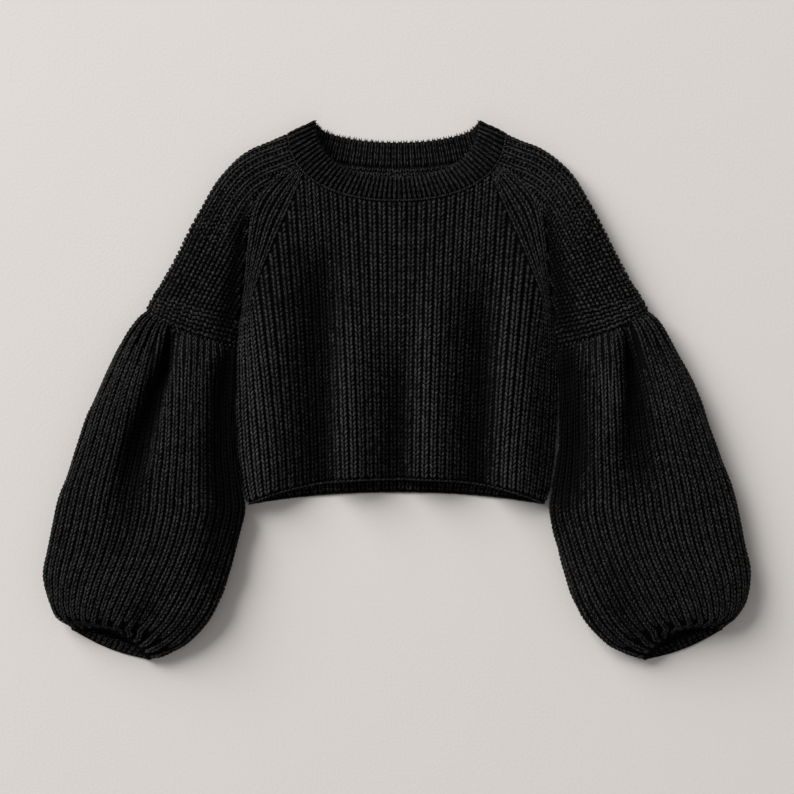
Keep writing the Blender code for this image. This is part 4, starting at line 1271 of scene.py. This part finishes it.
def bowed(span: Span, bow: float) -> tuple[Array, Array, Array]:
    """A line between two points that bows to its right in plan.

    Args:
        span: the two points.
        bow: how far its middle bows.

    Returns:
        Shares of the way along it, its places in plan, and its heights.
    """
    q = bunched(LINE_STEPS)
    chord = span.end - span.start
    side = np.array([chord[1], -chord[0]]) / np.linalg.norm(chord)
    plan = span.start + chord * q[:, None] + side * (4.0 * bow * q * (1.0 - q))[:, None]
    return q, plan, span.start_z + (span.end_z - span.start_z) * q


def top_line(span: Span, crown: float, power: float, bow: float, places: Array,
             dents: Optional[Depth] = None) -> Array:
    """Points over a section's top, spaced along the cloth.

    Args:
        span: its two ends.
        crown: height of its middle.
        power: how square it rolls over.
        bow: how far it bows down the sleeve.
        places: shares of its length where the points lie.
        dents: depth of the creases at a share of the way across.

    Returns:
        The points.
    """
    q, plan, base = bowed(span, bow)
    height = base + (crown - base) * dome(q, power)
    points = along_line(np.column_stack([plan, height]), places)
    if dents is not None:
        chord = span.end - span.start
        q = np.clip((points[:, :2] - span.start) @ chord / (chord @ chord), 0.0, 1.0)
        points[:, 2] -= dents(q) * dome(q, power)
    return points


def under_line(span: Span, bow: float, count: int) -> Array:
    """Points under a section, flat on the floor between its curled sides.

    Args:
        span: the line's two ends.
        bow: how far it bows up the sleeve.
        count: number of steps.

    Returns:
        The points.
    """
    q, plan, base = bowed(span, bow)
    height = FLOOR + (base - FLOOR) * (1.0 - dome(q, UNDER_CURL))
    height = np.where(height < FLOOR + LEAST_CURL, FLOOR, height)
    return along_line(np.column_stack([plan, height]), shares(count))


@dataclass
class SleeveHead:
    """Fitted upper sleeve: ribs along the arm that turn into ridges across it."""

    side: Side
    ribs: int = 8
    fine: int = 4
    rows: int = 48
    ridges: int = 4             # soft ridges across it, next to the gathered seam
    ridge_pitch: float = 11.3
    ridge_rise: float = 2.2
    ridge_fade: tuple[float, float] = (-8.0, 12.0)   # where they fade, from the last one's end
    cross_rows: int = 8         # rows of stitches that lie across, from the gather up
    waffle_rows: int = 18       # rows up to which short stitches follow them
    valley: float = 8.5         # how far the cloth falls away beside the body
    valley_place: float = 0.09  # middle of that valley, as a share of the way across
    valley_width: float = 0.14
    valley_rows: tuple[float, float] = (3.2, 5.6)    # rows of the table between which it starts
    shallow_rows: tuple[float, float] = (8.0, 10.0)  # and between which it loses depth
    shallow: float = 0.6        # share that it loses
    full_shade_depth: float = 11.0    # how far the cloth falls where its painted shade is darkest
    square: float = 2.6         # how square a section rolls over
    square_roll: float = 1.2    # how much squarer where its side rolls over too
    pitch: float = 12.2         # width of a rib
    fold_wale: int = 12         # rib number of the fold
    gauge: Gauge = Gauge(
        row=6.3, reach=1.45, spread=0.20, width=2.7, slant=14.0, short=0.72, level=True)
    purl: Gauge = Gauge(
        row=6.3, reach=0.62, spread=0.0, width=2.4, slant=90.0, tilt=0.0, over=1.2, lift=1.6,
        legs=(1.0,), level=True)
    cross: Gauge = Gauge(
        row=5.65, reach=1.3, spread=0.25, width=4.2, slant=62.0, over=1.5, lift=2.3, uneven=0.25,
        loose=1.8, level=True)
    bead: Gauge = Gauge(
        row=5.65, reach=1.12, spread=0.245, width=3.9, fill=0.38, slant=28.0, over=1.6, uneven=0.3,
        loose=2.2, level=True)
    pick_up: Chain = Chain(length=0.40, breadth=1.9, over=1.9, out=-1.2, lift=1.6, lean=76.0)

    def section(self, row: HeadRow, fall: float = 0.0) -> Array:
        """Middle line of one section: over the top, round the fold and under.

        Args:
            row: the section's sizes.
            fall: how far its body side falls away.

        Returns:
            Its points.
        """
        front, back = np.array([row.x, row.y]), np.array([row.back_x, row.back_y])
        outer = np.array([row.outer_x, row.outer_y])
        across, under = unit(outer - front), unit(outer - back)
        stand = min(max(row.back_z - FLOOR, 0.0) / FULL_LIFT, 1.0)
        start = front + across * ((SIDE_SKIN + SIDE_GAP) * row.roll + SEAM_GAP / 2)
        fold = outer - across * FOLD_SKIN
        finish = back + under * ((SKIN + SIDE_GAP) * stand + SEAM_GAP / 2)
        place, width = self.valley_place, self.valley_width
        top = top_line(Span(start, fold, row.front_z + SEAM_GAP / 2, row.fold_z), row.crown,
                       self.square + self.square_roll * row.roll, row.bow,
                       shares(self.ribs * self.fine),
                       lambda q: fall * np.exp(-(((q - place) / width) ** 2)))
        below = under_line(Span(fold, finish, row.fold_z, max(row.back_z - SEAM_GAP / 2, FLOOR)),
                           row.under_bow, self.ribs * 2)
        return np.vstack([top, below[1:]])

    def cloth(self) -> Cloth:
        """Cloth of the right sleeve head, from the gathered seam up to the neckband."""
        lines, fold_shade = [], []
        for at in np.linspace(len(HEAD_ROWS) - 1, 0.0, self.rows + 1):
            row, deep = between(HEAD_ROWS, at), 1.0 - self.shallow * smooth(*self.shallow_rows, at)
            fall = self.valley * float(smooth(*self.valley_rows, at) * deep)
            lines.append(self.section(row, fall))
            # painted shade in the valley beside the body, by how far the cloth falls there
            fold_shade.append((self.section(row)[:, 2] - lines[-1][:, 2]) / self.full_shade_depth)
        lines[0] = lines[0] + np.array([0.0, GATHER_GAP, 0.0])
        points = np.array(lines)
        distance = run_length(points, 1)
        distance -= distance[:, self.ribs * self.fine, None]
        return Cloth(points, self.fold_wale + distance / self.pitch, fold_shade=np.array(fold_shade))

    def build(self, yarn: Finish, ground: Finish) -> None:
        """Knits the sleeve head.

        Args:
            yarn: finish of the stitches.
            ground: finish of the shell behind them.
        """
        word = self.side.value
        cloth, fold = self.cloth(), self.fold_wale
        if self.side is Side.LEFT:
            fold = math.floor(cloth.wales.min()) + math.ceil(cloth.wales.max()) - fold
            cloth = cloth.mirrored()
        up = cloth.rows_up()
        reach = self.ridges * self.ridge_pitch
        ridge = crests(up / self.ridge_pitch) * self.ridge_rise
        ridge = ridge * (1.0 - smooth(reach + self.ridge_fade[0], reach + self.ridge_fade[1], up))
        ridge = ridge * clear(cloth.points[..., 2])
        shell = knit_wall(f"sleeve_head_shell_{word}", [cloth], ground,
                          [ribbed(cloth, 1.1, 0.9) + ridge], inside=0.5)
        knit, low, high = cloth.swollen(ridge), self.cross_rows, self.waffle_rows
        across, waffle = knit.stretch(0, low + 1), knit.stretch(low, high + 1)
        lines = knit.stretch(high, None)
        stitches = YarnWork(self.side.pick(31, 32))
        for k in range(int(knit.wales.min()), math.ceil(knit.wales.max())):
            low_gauge = self.bead if abs(k + 0.5 - fold) < 1.0 else self.cross
            stitches.rib(across, k + 0.5, low_gauge, first=2.8, last=0.0)
            stitches.rib(waffle, k + 0.5, self.bead, first=0.0, last=0.0)
            stitches.rib(lines, k + 0.5, self.gauge, first=0.0, last=2.5)
            if k != fold:
                stitches.rib(lines, float(k), self.purl, first=3.3, last=2.5)
        ends = knit.wales[0].min() + 0.3, knit.wales[0].max() - 0.3
        stitches.edge(knit, np.arange(*ends, 0.47), self.pick_up)
        parts = [stitches.piece(f"sleeve_head_stitches_{word}", yarn)]
        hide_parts(f"sleeve_head_{word}")
        LOG.info("sleeve head %s: %d legs", word, stitches.count())


class TubeRow(NamedTuple):
    """A section of a balloon sleeve or cuff, from the body side to the outer side."""

    outer_x: float
    outer_y: float
    inner_x: float
    inner_y: float
    crown: float
    outer_z: float
    inner_z: float
    round: float
    bow: float
    under_bow: float


class Crease(NamedTuple):
    """A place on a long crease, as shares across and down the sleeve; a trough is positive."""

    across: float
    along: float
    depth: float
    width: float


def tube_section(row: TubeRow, places: Array, under: int,
                 dents: Optional[Depth] = None) -> Array:
    """Middle line of a closed section, which ends where it starts.

    Args:
        row: the section's sizes.
        places: shares of the top's length where its points lie.
        under: steps underneath.
        dents: depth of the creases at a share of the way across.

    Returns:
        Its points.
    """
    inner, outer = np.array([row.inner_x, row.inner_y]), np.array([row.outer_x, row.outer_y])
    across = unit(outer - inner)
    start, fold = inner + across * (SIDE_SKIN + SIDE_GAP), outer - across * FOLD_SKIN
    top = top_line(Span(start, fold, row.inner_z, row.outer_z), row.crown, row.round, row.bow,
                   places, dents)
    below = under_line(Span(fold, start, row.outer_z, row.inner_z), row.under_bow, under)
    below[-1] = top[0]
    return np.vstack([top, below[1:]])


# where a sleeve and its cuff meet
WRIST_ROW = TubeRow(445.4, -319.0, 327.0, -361.0, 24.0, 10.5, 10.5, 3.2, -19.0, 0.0)


@dataclass
class BalloonSleeve:
    """Full lower sleeve, gathered into the sleeve head and into the cuff."""

    side: Side
    creases: tuple[tuple[Crease, ...], ...]
    ribs: int = 24
    fine: int = 4
    rows: int = 84
    length: float = 430.0      # rough length down the sleeve
    fair: float = 0.7          # how far its rows crowd together at both ends
    puff: float = 8.0          # how far a gathered rib stands over the next one at the sleeve head
    puff_run: tuple[float, float] = (8.0, 105.0)   # how far down it does so, first wholly
    nub: float = 5.5           # the same at the cuff
    nub_run: tuple[float, float] = (6.0, 46.0)
    nose: float = 9.0          # how soon a gathered rib rises at the sleeve head
    tip: float = 6.0           # and at the cuff
    ripe: tuple[float, float] = (0.75, 1.15)       # how unevenly the ribs are gathered
    crowd: float = 0.50        # how far a gathered rib widens at the cost of the next one
    plain_ribs: int = 10       # ribs beside the body, which all show at the gathered seam
    plain_share: float = 0.63  # share of that seam that they take
    plain_run: float = 0.33    # share of the sleeve over which the others spread out
    plain_power: float = 1.5   # how soon they do so
    drift: float = 0.45        # how far the ribs lean towards the cuff's side over the cuff
    drift_in: tuple[float, float] = (0.50, 0.80)   # shares of the way down where that starts
    drift_out: tuple[float, float] = (0.84, 1.0)   # and where it ends
    crease_edge: float = 2.8   # how steep the sides of a crease are
    sunk_end: float = 24.0     # how much sooner every second rib ends at the cuff
    hidden: tuple[float, float] = (24.0, 72.0)     # how far from the gather it comes out
    slim: float = 0.08         # how much narrower a rib gets towards the gather
    slim_folded: float = 0.42  # and a folded one, more than that
    heave_low: tuple[float, float, float] = (11.0, 0.0, 0.3)    # least run, phase and size of
    heave_high: tuple[float, float, float] = (26.0, 6.28, 1.0)  # its slow rise, and the most
    full_shade_depth: float = 21.0   # how far a crease falls where its painted shade is darkest
    painted_ridge_light: float = 0.3   # how much painted light a ridge gets at most
    heave: float = 1.3         # how far a rib rises over its neighbours along its length
    table: tuple[TubeRow, ...] = (
        TubeRow(340.0, 106.0, 218.4, 58.0, 30.0, 13.0, 13.0, 3.6, 6.0, 3.0),
        TubeRow(356.3, 90.4, 219.4, 24.0, 39.5, 16.5, 17.5, 3.2, 5.0, 2.0),
        TubeRow(378.1, 57.8, 220.3, -18.0, 45.0, 19.0, 20.0, 3.0, 3.0, 1.0),
        TubeRow(405.3, 3.4, 219.4, -58.0, 48.5, 21.5, 21.5, 2.9, 0.0, 0.0),
        TubeRow(429.8, -61.9, 216.4, -96.0, 50.5, 23.0, 22.5, 2.8, 0.0, 0.0),
        TubeRow(452.9, -127.2, 209.8, -136.0, 51.5, 24.0, 22.5, 2.6, 0.0, 0.0),
        TubeRow(463.8, -165.2, 206.9, -165.2, 51.5, 24.0, 22.5, 2.5, 0.0, 0.0),
        TubeRow(474.6, -214.2, 217.6, -210.1, 51.5, 24.0, 23.0, 2.4, 0.0, 0.0),
        TubeRow(479.6, -250.9, 229.8, -253.6, 50.5, 24.0, 23.0, 2.4, 0.0, 0.0),
        TubeRow(475.6, -282.2, 242.1, -287.6, 47.5, 22.5, 22.5, 2.5, 0.0, 0.0),
        TubeRow(467.0, -300.6, 259.8, -317.6, 42.5, 20.0, 20.0, 2.7, -3.0, 0.0),
        TubeRow(460.5, -308.0, 285.0, -344.0, 35.0, 16.0, 16.0, 3.0, -9.0, 0.0),
        TubeRow(453.0, -313.5, 307.0, -355.0, 28.5, 13.0, 13.0, 3.1, -14.5, 0.0),
        WRIST_ROW,
    )
    gauge: Gauge = Gauge(reach=1.45, spread=0.20, width=3.0, slant=17.0, uneven=0.35)
    knobs: Chain = Chain(      # the rounded ends of the standing ribs at the cuff
        length=1.6, breadth=3.4, over=3.2, out=1.8, lift=4.4, lean=90.0, row=0.25)

    def dents(self, along: float) -> Depth:
        """Depth of the creases across the sleeve, at a share of the way down it.

        Args:
            along: share of the way from the gathered seam to the cuff.

        Returns:
            A function of the share across the sleeve.
        """
        parts = []
        for line in self.creases:
            at = column(line, "along")
            parts.append([np.interp(along, at, column(line, key))
                          for key in ("across", "depth", "width")])
        return lambda q: sum(depth * np.exp(-np.abs((q - x) / width) ** self.crease_edge)
                             for x, depth, width in parts)

    def gathered(self, down: Any, up: Any) -> tuple[Any, Any]:
        """How fully the ribs are gathered: towards the sleeve head, and towards the cuff.

        Args:
            down: distance from the gathered seam.
            up: distance from the cuff.

        Returns:
            Two shares, each from 0 to 1.
        """
        return 1.0 - smooth(*self.puff_run, down), 1.0 - smooth(*self.nub_run, up)

    def cloth(self) -> Cloth:
        """Cloth of the right sleeve, from the cuff up to the gathered seam."""
        lines, fold_shade = [], []
        fair = self.fair * bunched(self.rows) + (1.0 - self.fair) * shares(self.rows)
        wale = np.arange(self.ribs * self.fine + 1) / self.fine
        sway = (np.sin(math.pi * (wale - 0.5)) + 1.0) / math.pi
        for share in fair[::-1]:
            row = between(self.table, share * (len(self.table) - 1))
            head, foot = self.gathered(self.length * share, self.length * (1.0 - share))
            folded = np.where(wale < self.plain_ribs, foot, max(head, foot))
            places = (wale + self.crowd * folded * sway) / self.ribs
            seam = np.interp(places, [0.0, self.plain_ribs / self.ribs, 1.0],
                             [0.0, self.plain_share, 1.0])
            plain = max(1.0 - share / self.plain_run, 0.0) ** self.plain_power
            places = places + (seam - places) * plain
            places = places / places[-1]
            drift = smooth(*self.drift_in, share) * (1.0 - smooth(*self.drift_out, share))
            places = places + self.drift * float(drift) * places * (1.0 - places)
            dents, top = self.dents(share), self.ribs * self.fine
            line = tube_section(row, places, self.ribs * 2, dents)
            chord = line[top, :2] - line[0, :2]
            q = (line[:, :2] - line[0, :2]) @ chord / (chord @ chord)
            lines.append(line)
            # painted shade in the creases and painted light on the ridges, over the top only
            fold_shade.append(np.where(np.arange(len(line)) > top, 0.0,
                                   np.clip(dents(q) / self.full_shade_depth, -self.painted_ridge_light, 1.0)))
        wales = np.concatenate([wale, self.ribs + np.arange(1, self.ribs * 2 + 1) / 2])
        return Cloth(np.array(lines), wales, closed=True, fold_shade=np.array(fold_shade))

    def puffs(self, cloth: Cloth) -> Array:
        """How far every second rib stands out where the sleeve is gathered.

        Args:
            cloth: the smooth sleeve.

        Returns:
            The rise of each point.
        """
        up = cloth.rows_up()
        down = up[-1] - up
        chance = np.random.default_rng(self.side.pick(40, 41))
        places = np.linspace(0.0, self.ribs, self.ribs // 2 + 1)
        ripe = np.interp(cloth.wales, places, chance.uniform(*self.ripe, len(places)))
        head, foot = self.gathered(down * ripe, up * ripe)
        nose, tip = [np.sqrt(1.0 - (1.0 - np.clip(way / run, 0.0, 1.0)) ** 2)
                     for way, run in ((down, self.nose), (up, self.tip))]
        pairs = np.abs(np.cos(math.pi * (cloth.wales - 0.5) / 2)) ** 0.8 - 0.5
        pairs = np.where(cloth.wales > self.ribs, 0.0, pairs)
        singles = np.abs(np.sin(math.pi * cloth.wales)) ** 0.7 * 0.9 - 0.45
        singles = np.where(cloth.wales < self.plain_ribs, singles, pairs)
        gathers = self.puff * head * nose * ripe * singles + self.nub * foot * tip * pairs
        count = 2 * self.ribs
        low, high = np.array([self.heave_low, self.heave_high])[:, :, None]
        run, phase, size = chance.uniform(low, high, (3, count))
        slow = size * np.sin(up.mean(axis=1)[:, None] / run + phase) * self.heave
        slow = np.array([np.interp(row, np.arange(count) + 0.5, line)
                         for row, line in zip(cloth.wales, slow)])
        rise = gathers + slow * nose * tip * (1.0 - head) * (1.0 - foot)
        return rise * clear(cloth.points[..., 2])

    def build(self, yarn: Finish, ground: Finish) -> None:
        """Knits the sleeve.

        Args:
            yarn: finish of the stitches.
            ground: finish of the shell behind them.
        """
        word = self.side.value
        base = self.cloth()
        rise = self.puffs(base)
        cloth = base.swollen(rise)
        if self.side is Side.LEFT:
            base, cloth, rise = base.mirrored(), cloth.mirrored(), rise[:, ::-1]
        shell = knit_wall(f"balloon_sleeve_shell_{word}", [base], ground,
                          [ribbed(base) + rise], inside=0.5)
        stitches, total = YarnWork(self.side.pick(51, 52)), 2 * self.ribs
        for k in range(self.ribs):
            sunk = k % 2
            folded = sunk if k >= self.plain_ribs else 0
            hidden = stitches.chance.uniform(*self.hidden) * folded
            gauge = replace(self.gauge, slim=self.slim + self.slim_folded * folded)
            stitches.rib(cloth, self.side.pick(total - k - 0.5, k + 0.5), gauge,
                         first=2.0 + self.sunk_end * sunk, last=2.5 + hidden)
        for k in range(self.ribs, total):
            stitches.rib(cloth, self.side.pick(total - k - 0.5, k + 0.5), self.gauge,
                         first=8.0, last=8.0)
        knobs = np.arange(0.5, self.ribs, 2.0)
        stitches.edge(cloth, self.side.pick(total - knobs[::-1], knobs), self.knobs)
        parts = [stitches.piece(f"balloon_sleeve_stitches_{word}", yarn)]
        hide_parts(f"balloon_sleeve_{word}")
        LOG.info("balloon sleeve %s: %d legs", word, stitches.count())


@dataclass
class Cuff:
    """Short ribbed cuff, its top edge set back from its lower edge."""

    side: Side
    ribs: int = 16
    fine: int = 4
    rows: int = 8
    table: tuple[TubeRow, ...] = (
        WRIST_ROW,
        TubeRow(445.2, -322.0, 331.0, -364.0, 23.0, 10.5, 10.5, 3.2, -19.0, -3.0),
        TubeRow(445.0, -324.5, 336.5, -367.0, 21.5, 10.5, 10.5, 3.2, -18.5, -6.0),
    )
    arm: tuple[float, float, float] = (0.36, -0.93, 0.0)   # down the arm
    gauge: Gauge = Gauge(row=6.0, spread=0.16, slant=8.0)
    inner: Gauge = Gauge(
        row=6.0, spread=0.16, slant=8.0, over=1.2, lift=1.8, grounded=False)
    cast_off: Chain = Chain(length=0.66, breadth=1.4, over=1.4, out=0.1, lift=0.3, lean=8.0)

    def cloth(self) -> Cloth:
        """Cloth of the right cuff, from its edge up to the sleeve."""
        count, back = self.ribs * self.fine, np.array(self.arm) * CUFF_GAP
        rows = np.linspace(len(self.table) - 1, 0.0, self.rows + 1)
        lines = [tube_section(between(self.table, at), shares(count), count) + back for at in rows]
        return Cloth(np.array(lines), np.arange(2 * count + 1) / self.fine, closed=True)

    def build(self, yarn: Finish, ground: Finish) -> None:
        """Knits the cuff.

        Args:
            yarn: finish of the stitches.
            ground: finish of the shell behind them.
        """
        word = self.side.value
        cloth = self.side.pick(self.cloth().mirrored(), self.cloth())
        shell = knit_wall(f"cuff_shell_{word}", [cloth], ground, [ribbed(cloth, 1.2, 0.8)],
                          inside=0.6)
        stitches, inside = YarnWork(self.side.pick(61, 62)), cloth.inside()
        under = self.side.pick(0, self.ribs)
        for k in range(2 * self.ribs):
            if under <= k < under + self.ribs:
                stitches.rib(cloth, k + 0.5, self.gauge, first=0.5, last=0.0)
            stitches.rib(inside, k + 0.5, self.inner, first=0.5, last=0.0)
        stitches.edge(cloth, under + np.arange(0.3, self.ribs, 0.5), self.cast_off)
        parts = [stitches.piece(f"cuff_stitches_{word}", yarn)]
        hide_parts(f"cuff_{word}")
        LOG.info("cuff %s: %d legs", word, stitches.count())


# ------------------------------------------------------------------ neckband


@dataclass
class Neckband:
    """Ribbed crew neckband: a full ring from the neck seam in to its rim."""

    form: BodyForm
    ribs: int = 28             # from the front centre to one shoulder
    back_ribs: int = 15        # from the shoulder to the centre behind
    fine: int = 4
    rows: int = 10
    rim_x: float = 112.5
    rim_y: float = 367.5
    front_rim_drop: float = 78.5
    front_rim_power: float = 2.35
    back_rim_drop: float = 28.6
    rim_front_z: float = 24.0
    rim_shoulder_z: float = 22.0
    rim_fall: float = 0.62     # share of the way out from where the rim falls to the shoulder
    rim_lie: float = 0.1       # share of it over which the rim behind lies down on the floor
    arch: float = 2.5          # how far the middle of the band stands over its edges
    shoulder_steps: int = 32   # steps of the rim's back line that belong to the shoulder
    past_shoulder: int = 2     # ribs at each shoulder that still show their inner face
    gauge: Gauge = Gauge(
        row=8.0, reach=1.7, spread=0.11, width=1.7, fill=0.24, over=1.9, slant=5.0)
    behind: Gauge = Gauge(
        row=8.0, reach=2.0, spread=0.20, width=1.8, fill=0.27, over=1.2, lift=1.4, slant=1.0,
        uneven=0.1, grounded=False)
    pick_up: Chain = Chain(length=0.62, breadth=1.6, over=1.6, out=0.0, lift=2.4, lean=32.0)

    def seam(self) -> tuple[Array, Array, Array]:
        """Right half of the neck seam: over the front, under the shoulder, behind."""
        x = HEAD_ROWS[0].x * shares(LINE_STEPS)
        front = self.form.over(x, self.form.neck_level(x))
        head = SleeveHead(Side.RIGHT)
        section = head.section(HEAD_ROWS[0])
        top = head.ribs * head.fine
        x = HEAD_ROWS[0].back_x * shares(LINE_STEPS)[::-1]
        back = np.column_stack([x, self.form.neck_level(x, behind=True), np.full_like(x, FLOOR)])
        return np.vstack([front, section[:top + 1]]), section[top:], back

    def rim(self) -> tuple[Array, Array, Array]:
        """Right half of the rim, in the same three lines as the seam."""
        turn = shares(LINE_STEPS) * math.pi / 2
        x = self.rim_x * np.sin(turn) ** (2.0 / self.front_rim_power)
        y = self.rim_y - self.front_rim_drop * np.cos(turn) ** (2.0 / self.front_rim_power)
        fall = smooth(self.rim_fall, 1.0, x / self.rim_x)
        z = self.rim_front_z + (self.rim_shoulder_z - self.rim_front_z) * fall
        front = np.column_stack([x, y, z])
        turn = turn[::-1]
        x, y = self.rim_x * np.sin(turn), self.rim_y - self.back_rim_drop * np.cos(turn)
        lie = smooth(0.0, self.rim_lie, 1.0 - x / self.rim_x)
        back = np.column_stack([x, y, self.rim_shoulder_z + (FLOOR - self.rim_shoulder_z) * lie])
        return front, back[:self.shoulder_steps + 1], back[self.shoulder_steps:]

    def cloth(self) -> Cloth:
        """Cloth of the whole ring, from the seam up to the rim."""
        counts = (self.ribs * self.fine, 2 * self.fine, self.back_ribs * self.fine)
        rings = []
        for lines in (self.seam(), self.rim()):
            half = [along_line(line, shares(count))[:-1] for line, count in zip(lines, counts)]
            half = np.vstack([*half, lines[-1][-1:]])
            rings.append(np.vstack([half, half[-2::-1] * MIRROR]))
        seam, rim = rings
        across = rim - seam
        seam = seam + across * (NECK_GAP / np.linalg.norm(across, axis=1))[:, None]
        rows = []
        for share in shares(self.rows):
            line = seam + (rim - seam) * share
            arch = self.arch * smooth(FREE, self.rim_front_z, line[:, 2])
            line[:, 2] += arch * 4 * share * (1 - share)
            rows.append(line)
        return Cloth(np.array(rows), np.arange(len(seam)) / self.fine, closed=True)

    def build(self, yarn: Finish, ground: Finish) -> None:
        """Knits the neckband.

        Args:
            yarn: finish of the stitches.
            ground: finish of the shell behind them.
        """
        cloth = self.cloth()
        inside, total = cloth.inside(), round(cloth.wales.max())
        shell = knit_wall("neckband_shell", [cloth], ground, [ribbed(cloth, 1.2, 0.6)],
                          inside=0.8, row=6.4)
        stitches = YarnWork(71)
        for k in range(total):
            stitches.rib(cloth, k + 0.5, self.gauge, first=1.0, last=0.0)
            if abs(k + 0.5 - total / 2) < self.back_ribs + self.past_shoulder:
                stitches.rib(inside, k + 0.5, self.behind, first=1.0, last=0.0)
        legs = [k + 0.5 + sign * self.gauge.spread for k in range(total) for sign in (-1, 1)]
        stitches.wrap(cloth, np.array(legs), length=5.2, breadth=0.32, thick=1.4, out=0.3)
        stitches.edge(cloth, paired(total), self.pick_up)
        parts = [stitches.piece("neckband_stitches", yarn)]
        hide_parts("neckband")
        LOG.info("neckband: %d legs", stitches.count())


# ------------------------------------------------------------------ studio


@dataclass
class Studio:
    """Pale paper, soft light from the upper left and a camera straight above."""

    height: float = 3.0            # of the camera over the floor
    field_width: float = 1.080     # width of its view at the garment
    garment_z: float = 0.02        # height at which that is measured
    centre_y: float = -0.0088
    sensor: float = 36.0
    far: float = 50.0              # how far it sees
    key_place: tuple[float, float, float] = (-9.2, 8.7, 7.4)
    key_size: float = 10.0
    key_power: float = 2860.0
    key_colour: tuple[float, float, float] = (1.0, 0.985, 0.965)
    fill: float = 0.285
    fill_colour: tuple[float, float, float, float] = (1.0, 0.975, 0.955, 1.0)
    floor_half: float = 6.0
    floor_cells: int = 24
    floor_z: float = -0.0003

    def floor(self) -> None:
        """A wide sheet of paper just under the garment."""
        mesh = bpy.data.meshes.new("paper_floor")
        side = self.floor_cells + 1
        steps = np.linspace(-self.floor_half, self.floor_half, side)
        points = [(x, y, self.floor_z) for y in steps for x in steps]
        corners = [r * side + c for r in range(side - 1) for c in range(side - 1)]
        faces = [(k, k + 1, k + side + 1, k + side) for k in corners]
        mesh.from_pydata(points, [], faces)
        mesh.materials.append(Paper().material())
        floor = placed("paper_floor", mesh)

    def key_light(self) -> None:
        """Hangs a soft square light that faces the garment."""
        lamp = bpy.data.lights.new("key_light", "AREA")
        lamp.shape, lamp.size = "SQUARE", self.key_size
        lamp.energy, lamp.color = self.key_power, self.key_colour
        holder = placed("key_light", lamp)
        holder.location = self.key_place
        aim = -holder.location
        holder.rotation_euler = aim.to_track_quat("-Z", "Y").to_euler()

    def lights(self) -> None:
        """Key light from the upper left, and a pale surround."""
        bpy.context.scene.view_settings.view_transform = "Standard"
        self.key_light()
        world = bpy.data.worlds.new("surround")
        world.use_nodes = True
        back = world.node_tree.nodes["Background"]
        back.inputs["Color"].default_value = self.fill_colour
        back.inputs["Strength"].default_value = self.fill
        bpy.context.scene.world = world

    def camera(self) -> None:
        """A long lens straight above the garment."""
        data = bpy.data.cameras.new("overhead_camera")
        data.sensor_width = self.sensor
        data.lens = self.sensor * (self.height - self.garment_z) / self.field_width
        data.clip_end = self.far
        camera = placed("overhead_camera", data)
        camera.location = (0.0, self.centre_y, self.height)
        bpy.context.scene.camera = camera


LEFT_CREASES = (
    (Crease(0.71, 0.0, 0.0, 0.05), Crease(0.66, 0.04, 15.0, 0.05),
     Crease(0.60, 0.14, 25.0, 0.075), Crease(0.605, 0.23, 24.0, 0.085),
     Crease(0.63, 0.31, 19.0, 0.09), Crease(0.62, 0.40, 10.0, 0.10),
     Crease(0.60, 0.58, 0.0, 0.12)),
    (Crease(0.46, 0.0, -1.0, 0.07), Crease(0.45, 0.16, -5.0, 0.07), Crease(0.45, 0.45, 0.0, 0.11)),
    (Crease(0.05, 0.0, 8.0, 0.08), Crease(0.06, 0.10, 22.0, 0.12), Crease(0.06, 0.40, 21.0, 0.12),
     Crease(0.06, 0.56, 9.0, 0.10), Crease(0.06, 0.72, 0.0, 0.09)),
    (Crease(0.38, 0.60, 0.0, 0.10), Crease(0.40, 0.76, 5.0, 0.09), Crease(0.38, 0.92, 0.0, 0.06)),
)
RIGHT_CREASES = (
    (Crease(0.76, 0.0, 0.0, 0.05), Crease(0.69, 0.05, 14.0, 0.06),
     Crease(0.64, 0.12, 20.0, 0.085), Crease(0.59, 0.19, 19.0, 0.095),
     Crease(0.51, 0.28, 14.0, 0.11), Crease(0.44, 0.46, 0.0, 0.12)),
    (Crease(0.42, 0.0, -1.0, 0.07), Crease(0.40, 0.16, -4.0, 0.07), Crease(0.38, 0.30, 0.0, 0.10)),
    (Crease(0.06, 0.0, 10.0, 0.09), Crease(0.07, 0.10, 26.0, 0.13), Crease(0.07, 0.30, 25.0, 0.12),
     Crease(0.05, 0.52, 0.0, 0.09)),
    (Crease(0.30, 0.52, 0.0, 0.10), Crease(0.22, 0.74, 5.5, 0.08), Crease(0.24, 0.92, 0.0, 0.06)),
)


def main() -> None:
    """Builds the studio and every piece of the sweater, in order."""
    logging.basicConfig(level=logging.INFO, format="%(message)s")
    studio = Studio()
    studio.camera()
    studio.lights()
    studio.floor()
    yarn, ground = Yarn().material(), Ground().material()
    form = BodyForm()
    pieces = [FrontPanel(form), BackPanel(form), Neckband(form)]
    for side, creases in ((Side.LEFT, LEFT_CREASES), (Side.RIGHT, RIGHT_CREASES)):
        pieces += [SleeveHead(side), BalloonSleeve(side, creases), Cuff(side)]
    for piece in pieces:
        piece.build(yarn, ground)


if __name__ == "__main__":
    main()
